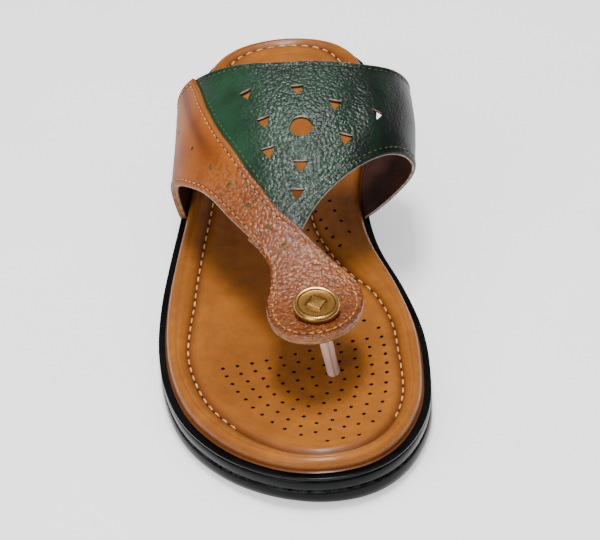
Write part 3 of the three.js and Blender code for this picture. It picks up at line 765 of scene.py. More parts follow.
@dataclass(frozen=True)
class FibrousSurface:
    """A dull fibrous surface, such as a cut leather edge, flesh side, thread or paper.

    Two close colours lie in small clouds, over a fine relief that breaks up the light.
    """

    name: str
    light: str
    dark: str
    cloud_mm: float
    relief_mm: float
    depth_mm: float
    roughness: float
    glow: float = 0.0

    def wire(self, tree: bpy.types.NodeTree) -> dict[str, object]:
        """Adds the surface's pattern nodes."""
        place = add(tree, "TexCoord", out="Object")
        clouds = add(tree, "TexNoise", {"Vector": place, "Scale": 1 / (self.cloud_mm * MM), "Detail": 3.0})
        # Fibres are under 0.1 mm across, too fine to show, so relief_mm is coarser than they are.
        fibres = add(tree, "TexNoise", {"Vector": place, "Scale": 1 / (self.relief_mm * MM), "Detail": 4.0})
        cloud = add(tree, "MapRange", {"Value": clouds, "From Min": 0.35, "From Max": 0.65})
        base = add(tree, "Mix", {0: cloud, 6: srgb(self.dark), 7: srgb(self.light)}, 2, data_type="RGBA")
        bump = add(tree, "Bump", {"Height": fibres, "Strength": 0.6, "Distance": self.depth_mm * MM})
        wear = add(tree, "MapRange", {
            "Value": fibres, "From Min": 0.3, "From Max": 0.7, "To Min": self.roughness - 0.08,
            "To Max": self.roughness + 0.08,
        })
        return {"Base Color": base, "Roughness": wear, "Normal": bump, "IOR": 1.4,
                "Emission Color": srgb(self.light), "Emission Strength": self.glow}

    def material(self) -> bpy.types.Material:
        """Makes the material."""
        return finish(self.name, self.wire)


@dataclass(frozen=True)
class CastBrass:
    """Cast brass with an antique finish: bright where it is rubbed, dark brown in the recess."""

    name: str
    bright: str
    dark: str

    def wire(self, tree: bpy.types.NodeTree) -> dict[str, object]:
        """Adds the metal's pattern nodes. Shade: patina in the recess, painted shade at the rim's foot."""
        place = add(tree, "TexCoord", out="Object")
        # Cast grain is about 0.2 mm, too fine to show, so it is drawn at 0.9 mm.
        grains = add(tree, "TexNoise", {
            "Vector": place, "Scale": 1 / (0.9 * MM), "Detail": 5.0, "Roughness": 0.65,
        })
        shade = add(tree, "Attribute", out="Fac", attribute_name="shade")
        spots = add(tree, "MapRange", {"Value": grains, "From Min": 0.45, "From Max": 0.75, "To Max": 0.35})
        dark = add(tree, "Math", {0: shade, 1: spots}, operation="ADD", use_clamp=True)
        base = add(tree, "Mix", {0: dark, 6: srgb(self.bright), 7: srgb(self.dark)}, 2, data_type="RGBA")
        rough = add(tree, "MapRange", {"Value": dark, "To Min": 0.24, "To Max": 0.5})
        bump = add(tree, "Bump", {"Height": grains, "Strength": 0.4, "Distance": 0.12 * MM})
        return {"Base Color": base, "Roughness": rough, "Normal": bump, "Metallic": 1.0}

    def material(self) -> bpy.types.Material:
        """Makes the material."""
        return finish(self.name, self.wire)


@dataclass
class Sole:
    """The moulded outsole: a lip, two convex bands with a step between, and a lugged underside."""

    SIDE_REACH = 2.6
    rubber: bpy.types.Material | None = None
    around: int = 480
    fine: int = 5
    spine_ends: tuple[float, float] = (30, 216)
    tread_depth: float = 1.2
    tread_rim: float = 5.0
    lug_pitch: float = 7.5
    lug_width: float = 4.6
    profile: Table = Table(("row", "out", "rim", "step", "floor", "dust_and_highlight"), (
        (0, -14, 1, 0, 0, 0), (1, -1, 1, 0, 0, 0), (2, 1.7, 1, 0, 0, 0), (3, 2.3, 0.985, 0.015, 0, 0),
        (4, 2.5, 0.94, 0.06, 0, 0), (5, 2.42, 0.86, 0.14, 0, 0), (6, 2.1, 0.8, 0.2, 0, 0),
        (7, 1.25, 0.765, 0.235, 0, 0.4), (8, 1.35, 0.74, 0.26, 0, 0.4), (9, 1.95, 0.66, 0.34, 0, 0),
        (10, 2.25, 0.45, 0.55, 0, 0), (11, 2.15, 0.2, 0.8, 0, 0), (12, 1.8, 0.06, 0.94, 0, 0.3),
        (13, 0.95, 0, 1, 0, 1), (14, 1.1, 0, 0.985, 0.015, 1), (15, 2, 0, 0.93, 0.07, 0.2),
        (16, 2.4, 0, 0.8, 0.2, 0), (17, 2.6, 0, 0.55, 0.45, 0), (18, 2.2, 0, 0.28, 0.72, 0),
        (19, 1.3, 0, 0.1, 0.9, 0.2), (20, 0, 0, 0.025, 0.975, 0.4), (21, -1.6, 0, 0, 1, 0.5),
        (22, -2.2, 0, 0, 1, 0.5),
    ))
    inward: Table = Table(("row", "share", "lift"), (
        (0, 0.05, 0), (1, 0.118, 0), (2, 0.132, 0.3), (3, 0.15, 1), (4, 0.27, 1), (5, 0.55, 1), (6, 1, 1),
    ))

    def floor(self, across: Array, from_heel: Array) -> Array:
        """Gives the underside's height: the two edge columns, blended straight across.

        Args:
            across: How far across, in millimetres.
            from_heel: Station along the sole.

        Returns:
            The heights, in millimetres.
        """
        lateral, medial = PLAN.column("lateral", from_heel), PLAN.column("medial", from_heel)
        share = np.clip((across - lateral) / (medial - lateral), 0, 1)
        low, high = HEIGHTS.column("floor_lateral", from_heel), HEIGHTS.column("floor_medial", from_heel)
        return low + (high - low) * share

    def side(self) -> tuple[Array, Array]:
        """Works out the side: the profile's reach off the plan, at its mix of the three heights.

        Returns:
            The rings of points, and how dusty each point is.
        """
        points, outward = plan_ring(self.around)
        row = np.linspace(0, 22, 22 * self.fine + 1)
        out, rim, step, floor, dust_and_highlight = (
            self.profile.column(name, row)[:, None] for name in ("out", "rim", "step", "floor", "dust_and_highlight")
        )
        place = points[None] + outward[None] * out[..., None]
        across, station = place[..., 0], place[..., 1]
        z = rim * HEIGHTS.column("rim", station) + step * HEIGHTS.column("step", station) \
            + floor * self.floor(across, station)
        return np.stack([across, LENGTH / 2 - station, z], axis=-1), dust_and_highlight * np.ones_like(z)

    def underside(self, edge: Array) -> Array:
        """Carries the last ring in to the middle line, with a step up inside the flat rim.

        Args:
            edge: The side's last ring.

        Returns:
            The rings of points.
        """
        station = np.clip(LENGTH / 2 - edge[:, 1], *self.spine_ends)
        middle = (PLAN.column("medial", station) + PLAN.column("lateral", station)) / 2
        spine = np.stack([middle, LENGTH / 2 - station], axis=-1)
        row = np.arange(7)
        share, lift = (self.inward.column(name, row)[:, None] for name in ("share", "lift"))
        place = edge[None, :, :2] * (1 - share[..., None]) + spine[None] * share[..., None]
        z = self.floor(place[..., 0], LENGTH / 2 - place[..., 1]) + lift * self.tread_depth
        return np.concatenate([place, z[..., None]], axis=-1)

    def body(self) -> bpy.types.Object:
        """Builds the sole's body, closed on its middle lines above and below.

        Returns:
            The piece.
        """
        side, dust_and_highlight = self.side()
        station = np.clip(LENGTH / 2 - side[0, :, 1], *self.spine_ends)
        middle = (PLAN.column("medial", station) + PLAN.column("lateral", station)) / 2
        spine = np.stack([middle, LENGTH / 2 - station, HEIGHTS.column("rim", station)], axis=-1)[None]
        under = self.underside(side[-1])
        rings = np.concatenate([spine, side, under])
        shade = np.concatenate([dust_and_highlight[:1], dust_and_highlight, np.full(under.shape[:2], 0.5)])
        faces = grid_faces(len(rings), self.around, wrap=True)
        piece = make_piece("sole_body", rings.reshape(-1, 3), faces, [self.rubber],
                           attributes={"shade": shade})
        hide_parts("outsole")
        return piece

    def tread(self) -> bpy.types.Object:
        """Builds the tread: wavy bars across the heel and the forefoot, each a rounded box section.

        Returns:
            The piece.
        """
        station = np.concatenate([np.arange(12, 48, self.lug_pitch), np.arange(148, 226, self.lug_pitch)])
        section = np.array([(-0.5, 1.6), (-0.47, 0.3), (-0.4, 0.04), (0.4, 0.04), (0.47, 0.3), (0.5, 1.6)])
        t = np.linspace(0, 1, 49)[None, :, None]
        wave = station[:, None, None] + 1.6 * np.sin(t * 6 * math.pi)
        lateral = PLAN.column("lateral", wave) + self.tread_rim
        medial = PLAN.column("medial", wave) - self.tread_rim
        place = wave + section[:, 0] * self.lug_width
        x = lateral + (medial - lateral) * t + 0 * place
        z = self.floor(x, place) + section[:, 1] * self.tread_depth
        bars = np.stack([x, LENGTH / 2 - place, z], axis=-1)
        ends = np.repeat(bars[:, [0, -1]].mean(axis=2, keepdims=True), bars.shape[2], axis=2)
        bars = np.concatenate([ends[:, :1], bars, ends[:, 1:]], axis=1)
        count, rows, columns = bars.shape[:3]
        first = np.arange(count) * rows * columns
        faces = grid_faces(rows, columns, wrap=True)[None] + first[:, None, None]
        shade = np.full(bars.shape[:3], 0.4)
        piece = make_piece("sole_tread", bars.reshape(-1, 3), faces.reshape(-1, 4), [self.rubber],
                           attributes={"shade": shade})
        return piece


def rounded(path: Array, outward: Array, wide: float, high: float) -> tuple[Array, Array]:
    """Shapes small rounded bodies along short paths, with radii that fall off as the root of 1 - t^4.

    Args:
        path: Each body's middle line from end to end, n by steps by 3.
        outward: The leather's outward direction for each, n by 3.
        wide: Their width.
        high: Their height.

    Returns:
        All their points and faces, each ring of 8 points.
    """
    ahead = np.gradient(path, axis=1)
    out = (outward / np.linalg.norm(outward, axis=1, keepdims=True))[:, None]
    aside = np.cross(out, ahead)
    aside /= np.linalg.norm(aside, axis=2, keepdims=True)
    steps = path.shape[1]
    t = -np.cos(math.pi * np.arange(steps) / (steps - 1))[None, :, None, None]
    angle = np.linspace(0, 2 * math.pi, 8, endpoint=False)[None, None, :, None]
    radius = np.sqrt(1 - t**4)
    points = path[:, :, None] + out[:, :, None] * radius * np.sin(angle) * high / 2 \
        + aside[:, :, None] * radius * np.cos(angle) * wide / 2
    faces = grid_faces(steps, 8, wrap=True)[None] + (np.arange(len(path)) * steps * 8)[:, None, None]
    return points.reshape(-1, 3), faces.reshape(-1, 4)


@dataclass(frozen=True)
class Stitch:
    """A row's gauge: from one stitch to the next, and the length and width of one."""

    pitch: float
    length: float
    width: float


def sew(name: str, line: Array, outward: Array, gauge: Stitch, thread: bpy.types.Material,
        needle: bpy.types.Material) -> bpy.types.Object:
    """Sews a row of stitches: short rounded threads that arch between needle holes.

    A thread's middle arches by a third of its width. A small dark lens, painted shade, lies at each
    needle hole.

    Args:
        name: The piece's name.
        line: The row's path on the leather, in millimetres.
        outward: The leather's outward direction along it.
        gauge: The row's gauge.
        thread: The thread's finish.
        needle: The needle holes' finish.

    Returns:
        The piece.
    """
    run = np.concatenate([[0], np.cumsum(np.linalg.norm(np.diff(line, axis=0), axis=1))])

    def on_line(values: Array, distance: Array) -> Array:
        """Reads values given along the line at a running distance."""
        return np.stack([np.interp(distance, run, axis) for axis in values.T], axis=-1)

    def bodies(at: Array, long: float, wide: float, high: float, arch: float) -> tuple[Array, Array]:
        """Shapes one body at each running distance."""
        t = -np.cos(math.pi * np.arange(7) / 6)
        rise = on_line(outward, at)[:, None] * (arch * (1 - t**2))[None, :, None]
        return rounded(on_line(line, at[:, None] + t * long / 2) + rise, on_line(outward, at), wide, high)

    at = np.arange(gauge.pitch * 0.6, run[-1] - gauge.pitch * 0.5, gauge.pitch)
    width = gauge.width
    sewn, faces = bodies(at, gauge.length, width, width, width / 3)
    holes, hole_faces = bodies(at[:-1] + gauge.pitch / 2, width, width, 0.14, 0.0)
    kind = np.repeat([0, 1], [len(faces), len(hole_faces)])
    piece = make_piece(name, np.concatenate([sewn, holes]), np.concatenate([faces, hole_faces + len(sewn)]),
                       [thread, needle], kind)
    return piece


@dataclass
class Footbed:
    """The padded insole: a rolled rim, a sewn groove and a dished middle with air holes."""

    leather: bpy.types.Material | None = None
    # The air holes' walls take this dark finish: painted shade.
    dark: bpy.types.Material | None = None
    around: int = 480
    fine: int = 5
    columns: int = 90
    groove: float = -9.7
    wall: float = -7.4
    top: float = 4.1
    hole_radius: float = 0.72
    hole_depth: float = 2.2
    # dark: painted shade at the rim's foot, where it meets the sole, and in the sewn groove.
    profile: Table = Table(("row", "out", "up", "dark"), (
        (0, -14, 0.3, 1), (1, -1, 0.3, 1), (2, -0.7, 0.9, 0.9), (3, -0.6, 2.2, 0.5), (4, -1.2, 4, 0.15),
        (5, -2.6, 4.95, 0), (6, -3.7, 5.02, 0), (7, -4.3, 5.04, 0), (8, -4.9, 5.04, 0), (9, -6.4, 4.95, 0),
        (10, -7.9, 4.4, 0.15), (11, -8.9, 3.75, 0.5), (12, -9.7, 3.15, 1),
        (13, -10.3, 3.55, 0.75), (14, -11.3, 4.2, 0.4), (15, -12.5, 4.5, 0.15), (16, -13.8, 4.45, 0),
        (17, -16, 4.1, 0),
    ))
    dish: Table = Table(("from_heel", "depth"), (
        (12, 0.6), (40, 1.9), (90, 0.7), (150, 1.5), (200, 1.7), (236, 0.4),
    ))
    # The rows of air holes, in millimetres: the ends are places picked in the picture that a scratch
    # program carried onto the footbed, and the vertex of each row follows them.
    forefoot: Table = Table(("row", "from_x", "to_x", "vertex", "count"), (
        (0, 24.8, 24.8, 166, 1), (1, 29.6, 29.6, 171, 1), (2, -25.9, 30.3, 176.2, 12),
        (3, -24.7, 30.8, 180.9, 12), (4, -22.8, 30.9, 185.8, 11), (5, -21, 31, 190.8, 11),
        (6, -18.4, 30.7, 196, 11), (7, -16.1, 30, 201.6, 10), (8, -13.1, 29.4, 206.7, 9),
        (9, -9.8, 28, 212.3, 8), (10, -5.7, 26.7, 217.7, 7), (11, -0.4, 24, 223.1, 6),
        (12, 8.2, 18.9, 230, 3),
    ))
    arch: Table = Table(("row", "from_x", "from_s", "to_x", "to_s", "bow", "count"), (
        (0, 15.7, 95.2, 22.8, 118.2, -1.1, 5), (1, 11.1, 104.1, 18.9, 124.9, -0.5, 5),
        (2, 7.7, 114.1, 24.2, 160, 1.8, 8),
    ))

    def ring(self, row: Array) -> tuple[Array, Array]:
        """Works out the rim's rings and their painted shade: at its foot, in the groove and the crease.

        What lies inside the wall of the groove moves with the groove, and the slope between the
        rim's crown and that wall is stretched to reach it. Where the slope is long, as at the arch,
        it swells like a pad, by the square of a sine; elsewhere a soft crease, a Gaussian dip,
        runs along its crown.

        Args:
            row: Places along the profile's rows.

        Returns:
            The rings of points, and how dark each point is.
        """
        points, outward = plan_ring(self.around)
        out, up, dark = (self.profile.column(name, row)[:, None] for name in ("out", "up", "dark"))
        medial = np.arange(self.around) < self.around / 2
        inner, outer = (GROOVE.column(name, points[:, 1]) for name in ("medial", "lateral"))
        width = np.where(medial, inner, outer)
        crown = -2.8 - 2.2 * np.clip((width - 7.5) / 3, 0, 1)
        moved = self.groove + width
        share = np.clip((out - crown) / (self.wall - crown), 0, 1)
        crease = np.exp(-(((out + 4.3) / 0.5) ** 2)) * (1 - np.clip((width - 9) / 4, 0, 1)) \
            * np.clip((points[:, 1] - 60) / 60, 0, 1)
        stretched = np.where(share > 0, crown + share * (self.wall - moved - crown), out)
        out = np.where(out < self.wall, out - moved, stretched)
        place = points[None] + outward[None] * out[..., None]
        z = HEIGHTS.column("rim", place[..., 1]) + up \
            + 0.12 * np.clip(width - 8, 0, None) * np.sin(math.pi * share) ** 2 - 0.16 * crease
        return np.stack([place[..., 0], LENGTH / 2 - place[..., 1], z], axis=-1), dark + 0.22 * crease

    def middle(self, edge: Array) -> tuple[Array, Array]:
        """Spans the dish with rows from the ring's lateral to its medial points, heel to toe.

        Sunk below the rim by depth (1 - (1 - w)^2), where w is the distance in from the ring over
        half the row's length, at most 1.

        Args:
            edge: The ring that the dish hangs in.

        Returns:
            The grid of points, and how dark each point is.
        """
        half = self.around // 2
        number = np.arange(half + 1)
        medial, lateral = edge[number], edge[-number % self.around]
        t = np.linspace(0, 1, self.columns)[None, :, None]
        place = (lateral[:, None] * (1 - t) + medial[:, None] * t)[..., :2]
        gap = np.linalg.norm(place[:, :, None] - edge[None, None, :, :2], axis=-1).min(axis=2)
        s = LENGTH / 2 - place[..., 1]
        reach = np.maximum(np.linalg.norm(lateral - medial, axis=1) / 2, 14)[:, None]
        w = np.clip(gap / reach, 0, 1)
        z = HEIGHTS.column("rim", s) + self.top - self.dish.column("depth", s) * (1 - (1 - w) ** 2)
        # Painted shade toward the ring that the dish hangs in.
        shade = 0.12 * np.exp(-gap / 5)
        return np.concatenate([place, z[..., None]], axis=-1), shade

    def pinholes(self) -> Array:
        """Places the air holes, as across and from heel.

        The arch's rows bow by 4 t (1 - t), and the forefoot's sag from their heelward ends by
        0.28 (hypot(x - 25, 15) - 15).

        Returns:
            Across and from heel of each, n by 2.
        """
        rows = []
        for _, x0, s0, x1, s1, bow, count in self.arch.rows:
            t = np.linspace(0, 1, int(count))
            rows.append(np.stack([x0 + (x1 - x0) * t + bow * 4 * t * (1 - t), s0 + (s1 - s0) * t], axis=-1))
        for _, start, end, vertex, count in self.forefoot.rows:
            x = np.linspace(start, end, int(count))
            rows.append(np.stack([x, vertex + 0.28 * (np.hypot(x - 25, 15) - 15)], axis=-1))
        return np.concatenate(rows)

    def punches(self, top: Array) -> bpy.types.Object:
        """Builds a ten-sided punch at each air hole, from the height of the top's nearest point.

        Args:
            top: Points of the cushion's upper side.

        Returns:
            The cutter.
        """
        holes = self.pinholes()
        angle = np.linspace(0, 2 * math.pi, 10, endpoint=False)
        disc = np.stack([np.cos(angle), np.sin(angle), 0 * angle], axis=-1) * self.hole_radius
        away = np.hypot(top[:, 0] - holes[:, :1], LENGTH / 2 - top[:, 1] - holes[:, 1:])
        z = top[away.argmin(axis=1), 2]
        centre = np.stack([holes[:, 0], LENGTH / 2 - holes[:, 1], z], axis=-1)[:, None] + disc
        points, faces = prisms(centre - [0, 0, self.hole_depth], centre + [0, 0, 3])
        return cutter_object("footbed_punches", points, faces, self.dark)

    def cushion(self) -> bpy.types.Object:
        """Builds the cushion, closed underneath, and punches its air holes.

        Returns:
            The piece.
        """
        rim, dark = self.ring(np.linspace(0, 17, 17 * self.fine + 1))
        dish, soft = self.middle(rim[-1])
        count = self.around
        base = rim.reshape(-1, 3)
        rows, columns = dish.shape[:2]
        faces = grid_faces(len(rim), count, wrap=True)
        top = grid_faces(rows, columns) + len(base)
        below, _ = self.middle(rim[0])
        below[..., 2] = HEIGHTS.column("rim", LENGTH / 2 - below[..., 1]) + 0.3
        under = grid_faces(rows, columns)[:, ::-1] + len(base) + rows * columns
        points = np.concatenate([base, dish.reshape(-1, 3), below.reshape(-1, 3)])
        # The underside is darkened in full: painted shade.
        shade = np.concatenate([dark.ravel(), soft.ravel(), np.ones(rows * columns)]) * 0.8
        piece = make_piece("footbed_cushion", points, np.concatenate([faces, top, under]),
                           [self.leather, self.dark], attributes={"shade": shade})
        punch(piece, self.punches(np.concatenate([rim[6 * self.fine:].reshape(-1, 3), dish.reshape(-1, 3)])))
        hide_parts("footbed")
        return piece

    def stitches(self, thread: bpy.types.Material) -> bpy.types.Object:
        """Sews the groove all round, but for the toe, where the thread is sunk out of sight.

        Args:
            thread: The thread's finish.

        Returns:
            The piece.
        """
        line = self.ring(np.array([12.15]))[0][0]
        line[:, 2] += 0.1
        s = LENGTH / 2 - line[:, 1]
        start = int(np.argmax(s * (np.arange(len(s)) < len(s) / 2) > 226))
        end = len(s) - int(np.argmax((s * (np.arange(len(s)) >= len(s) / 2))[::-1] > 222))
        row = np.roll(line, -end, axis=0)[:len(s) - end + start]
        return sew("footbed_stitches", row, np.tile([0.0, 0.0, 1.0], (len(row), 1)), Stitch(4.6, 2.9, 0.68),
                   thread, self.dark)


def between_edges(curve: Array, at: Array) -> Array:
    """Samples a pattern edge (around, from heel) at fractions of its running length.

    Args:
        curve: Points (around, from heel) along the edge.
        at: Fractions of its running length.

    Returns:
        The points there.
    """
    return np.stack([np.interp(at, running(curve), axis) for axis in curve.T], axis=1)


def along_table(table: Table, name: str, start: float, end: float, swap: bool = False) -> Array:
    """Draws a pattern edge densely from a table of it, as (around, from heel).

    Args:
        table: The edge's table.
        name: Its column.
        start: Where along the first column it starts.
        end: Where it ends.
        swap: Whether the first column is the from-heel one.

    Returns:
        Points (around, from heel).
    """
    key = np.linspace(start, end, DRAWN)
    value = table.column(name, key)
    return np.stack([value, key] if swap else [key, value], axis=1)


def inset(curve: Array, distance: float) -> Array:
    """Moves a pattern line over the last by a real distance, to the left seen from outside.

    The move is solved in the leather's own plane from how fast a point travels along each of the
    two pattern directions.

    Args:
        curve: Points (around, from heel).
        distance: How far to move, in millimetres.

    Returns:
        The moved points (around, from heel).
    """
    around, s = curve.T
    about = (last_point(around + 0.001, s) - last_point(around - 0.001, s)) / 0.002
    along = (last_point(around, s + 0.1) - last_point(around, s - 0.1)) / 0.2
    ahead = np.gradient(last_point(around, s), axis=0)
    aside = np.cross(np.cross(along, about), ahead)
    aside *= distance / np.linalg.norm(aside, axis=1, keepdims=True)
    aa, ss, mixed = (about**2).sum(axis=1), (along**2).sum(axis=1), (about * along).sum(axis=1)
    da, ds = (aside * about).sum(axis=1), (aside * along).sum(axis=1)
    scale = aa * ss - mixed**2
    return curve + np.stack([(da * ss - ds * mixed) / scale, (ds * aa - da * mixed) / scale], axis=1)


def axes_at(across: float, from_heel: float) -> tuple[Array, Array, Array, Array]:
    """Finds the leather's own axes at a place: the point, medial, heelward and outward directions.

    Args:
        across: How far across, in millimetres.
        from_heel: Station along the sole.

    Returns:
        The point and the three directions, each 3 numbers.
    """
    s = np.array([from_heel], float)
    around = around_at(np.array([across], float), s)
    middle = off_last(around, s, 0.0)[0]
    outward = off_last(around, s, 1.0)[0] - middle
    right = -np.cross(off_last(around, s + 1, 0.0)[0] - middle, outward)
    right /= np.linalg.norm(right)
    return middle, right, np.cross(outward, right), outward


@dataclass
class Straps:
    """The straps: the green band, the tan overlay with its neck and tab, their lining and stitches."""

    green: bpy.types.Material | None = None
    tan: bpy.types.Material | None = None
    lining: bpy.types.Material | None = None
    edge: bpy.types.Material | None = None
    tan_edge: bpy.types.Material | None = None
    mark: bpy.types.Material | None = None
    wall: float = 1.5
    overlay: tuple[float, float] = (0.05, 1.4)
    stitch_in: float = 2.3
    tuck: float = 0.06
    side_rows: int = 152
    neck_length: float = 52
    round_hole: tuple[float, float, float] = (128, 7.6, 4.0)
    triangle_side: float = 5.3
    triangles: Table = Table(("from_heel", "across"), (
        (112, 7.4), (108, -11.2), (119, 20.2), (123, -5.5), (118, 35), (134, -4.6), (131, 23),
        (141, 6.4), (150, 4.3),
    ))
    # The pressed marks: places picked in the picture that a scratch program carried onto the last.
    marks: Table = Table(("from_heel", "across", "radius"), (
        (93.5, -36, 0.8), (113.5, -31.1, 0.8), (127.5, -24.7, 1.0), (138.5, -18.7, 1.1), (149, -12.4, 1.0),
        (159, -6.2, 1.0), (166.5, -1.2, 0.95),
    ))

    def relief(self, place: Grid) -> Array:
        """Shapes the band: a soft fold beside the instep on the medial side.

        Args:
            place: Around and from-heel values.

        Returns:
            How far off the last it lifts the leather.
        """
        around, from_heel = place
        hollow = -0.9 * np.exp(-(((around - 0.2) / 0.05) ** 2))
        swell = 0.8 * np.exp(-(((around - 0.3) / 0.06) ** 2))
        fade = np.clip((HEEL_EDGE.column("from_heel", around) + 4 - from_heel) / -10, 0, 1)
        return (hollow + swell) * fade * np.clip((132 - from_heel) / 10, 0, 1)

    def band_grid(self) -> Grid:
        """Lays out the green band between its heel edge, its front edge, the seam and the sole.

        Returns:
            Around and from-heel values, v by u.
        """
        across, along = fractions(190, 115), fractions(90, 60)
        heel = along_table(HEEL_EDGE, "from_heel", PEAK_ROUND - self.tuck, 1)
        front = along_table(MEDIAL_EDGE, "from_heel", -self.tuck, 1)
        seam = along_table(SEAM, "round", 162, 78, swap=True) - [self.tuck, 0]
        seam[-1] = heel[0]
        foot = np.stack([np.ones(DRAWN), np.linspace(105, 60, DRAWN)], axis=1)
        return coons(between_edges(front, across), between_edges(heel, across),
                     between_edges(seam, along), between_edges(foot, along))

    def overlay_edges(self) -> tuple[Array, Array]:
        """Draws the overlay's two long edges from the sole to the neck: heel edge and seam, front.

        Returns:
            The heelward edge and the front edge, as points (around, from heel).
        """
        heel = np.concatenate([
            along_table(HEEL_EDGE, "from_heel", -1, PEAK_ROUND)[:-1],
            along_table(SEAM, "round", 78, 162, swap=True),
        ])
        return heel, along_table(LATERAL_EDGE, "from_heel", -1, -0.28)

    def overlay_grid(self) -> Grid:
        """Lays out the tan overlay: the lateral side, then the neck and the round-ended tab.

        Returns:
            Around and from-heel values, v by u.
        """
        across, along = fractions(54, 38), np.linspace(0, 1, self.side_rows - 2)
        along = np.concatenate([fractions(150, 100)[:5], along[3:]])
        heel, front = self.overlay_edges()
        foot = np.stack([-np.ones(DRAWN), np.linspace(50, 97.5, DRAWN)], axis=1)
        root = np.stack(neck_place(np.linspace(1, 0, DRAWN), np.zeros(DRAWN)), axis=1)
        root[0], front[-1] = heel[-1], root[-1]
        side = coons(between_edges(foot, across), between_edges(root, across),
                     between_edges(heel, along), between_edges(front, along))
        close = 1 - np.array([0.9, 0.55, 0.3, 0.12, 0]) / self.neck_length
        down = np.concatenate([np.linspace(0, 1, 62)[1:-2], close])[:, None]
        even = 1 - across[None]
        share = down**2
        neck = neck_place(even * (1 - share) + (1 - np.cos(math.pi * even)) / 2 * share, down + 0 * even)
        return np.concatenate([side[0], neck[0]]), np.concatenate([side[1], neck[1]])

    def puffed(self, distance: Array, puff: float) -> Array:
        """Lifts a sewn edge in a soft roll outside its stitches, and pulls in a groove along them.

        Args:
            distance: Distance in from the edge.
            puff: The roll's height.

        Returns:
            How far the leather lifts.
        """
        roll = puff * np.exp(-(((distance - self.stitch_in * 0.5) / (self.stitch_in * 0.4)) ** 2))
        return roll - 0.22 * np.exp(-(((distance - self.stitch_in) / 0.45) ** 2))

    def sheet(self, name: str, place: Grid, low: float, high: Array | float, puff: float,
              rolls: tuple[float, float], finishes: list[bpy.types.Material], grain: Array,
              shade: Array) -> bpy.types.Object:
        """Makes a sheet of leather between two distances off the last, its edges rolled off.

        An edge falls off by r - sqrt(r^2 - (r - d)^2), d being the distance to it and r the roll's
        radius, given for the outer and the inner side.

        Args:
            name: The piece's name.
            place: Around and from-heel values.
            low: Inner side, off the last.
            high: Outer side, off the last.
            puff: Height of the roll along its edges.
            rolls: Radius of its outer and inner edges.
            finishes: Grain side, flesh side and cut edge.
            grain: How strongly the grain stands out.
            shade: How far it is darkened.

        Returns:
            The piece.
        """
        distance = edge_distance(off_last(*place, 0.0))
        outer = off_last(*place, high - roll_off(distance, rolls[0]) + self.puffed(distance, puff))
        inner = off_last(*place, low + (high if np.ndim(high) else 0.0) + roll_off(distance, rolls[1]))
        points, faces, finish_of = shell(outer, inner)
        # Painted shade in the groove along each stitch row.
        darker = np.clip(shade + 0.45 * np.exp(-(((distance - self.stitch_in) / 0.5) ** 2)), 0, 1)
        return make_piece(name, points, faces, finishes, finish_of, {
            "grain": np.tile(grain.ravel(), 2), "shade": np.tile(darker.ravel(), 2),
        })

    def band(self) -> bpy.types.Object:
        """Builds the green band with its round and triangular holes.

        Returns:
            The piece.
        """
        place = self.band_grid()
        around = place[0]
        crest = np.exp(-(((around - 0.02) / 0.24) ** 4))
        grain = 0.18 + 0.82 * crest
        # Painted shade down the medial side, lifted by a painted highlight along the fold near round 0.3.
        medial = np.clip((around - 0.13) / 0.14, 0, 1)
        shade = medial * (1 - 0.35 * np.exp(-(((around - 0.3) / 0.05) ** 2))) * 0.95
        piece = self.sheet("green_band", place, -self.wall, self.relief(place), 0.25, (0.5, 0.3),
                           [self.green, self.lining, self.edge], grain, shade)
        punch(piece, self.band_punches())
        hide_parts("upper")
        return piece

    def overlays(self) -> list[bpy.types.Object]:
        """Builds the tan overlay, and under it the green leather with its lining.

        Returns:
            The overlay and the lining.
        """
        place = self.overlay_grid()
        around, from_heel = place
        grain = np.clip((from_heel - 118) / 22, 0.05, 1)
        seam = np.interp(from_heel, *np.array(SEAM.rows).T)
        # Painted shade along a crease beside the seam and down the lateral side; the tab also grows darker
        # toward its end.
        crease = np.exp(-(((around - seam + 0.085) / 0.03) ** 2)) * np.clip((135 - from_heel) / 20, 0, 1)
        tab = np.clip((from_heel - 184) / 10, 0, 1) * 0.25
        side = 0.35 * np.clip((-around - 0.5) / 0.3, 0, 1)
        shade = np.clip(crease * 0.6 + tab + side, 0, 1)
        top = self.sheet("tan_overlay", place, self.overlay[0], self.overlay[1], 0.2, (0.5, 0.02),
                         [self.tan, self.lining, self.tan_edge], grain, shade)
        punch(top, self.overlay_punches())
        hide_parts("strap_overlay")
        plain = np.zeros_like(around)
        under = self.sheet("strap_lining", place, -self.wall, 0.0, 0.0, (0.02, 0.3),
                           [self.green, self.lining, self.tan_edge], plain, plain)
        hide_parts("upper")
        return [top, under]

    def punched(self, holes: list[tuple[float, float, float, int]], wall: bpy.types.Material,
                reach: tuple[float, float]) -> bpy.types.Object:
        """Builds punches square to the leather.

        Args:
            holes: From heel, across, radius and number of sides of each.
            wall: The finish that the hole's wall takes.
            reach: How far they go inward and outward.

        Returns:
            The cutter.
        """
        points, faces, count = [], [], 0
        for from_heel, across, radius, sides in holes:
            middle, right, back, out = axes_at(across, from_heel)
            angle = np.linspace(0, 2 * math.pi, sides, endpoint=False)[:, None] + math.pi / 6
            ring = middle + (right * np.cos(angle) + back * np.sin(angle)) * radius
            body, sides_of = prisms((ring - out * reach[0])[None], (ring + out * reach[1])[None])
            points.append(body)
            faces += [[corner + count for corner in face] for face in sides_of]
            count += len(body)
        return cutter_object("punches", np.concatenate(points), faces, wall)

    def band_punches(self) -> bpy.types.Object:
        """Builds the punches for the round hole and the triangles."""
        corner = self.triangle_side / math.sqrt(3)
        # The holes' walls take the dark lining finish: painted shade inside the holes.
        return self.punched([(*self.round_hole, 48), *((s, x, corner, 3) for s, x in self.triangles.rows)],
                            self.lining, (6, 6))

    def overlay_punches(self) -> bpy.types.Object:
        """Builds the punches for the small round marks pressed into the overlay."""
        return self.punched([(s, x, r, 16) for s, x, r in self.marks.rows], self.mark, (-0.95, 4))

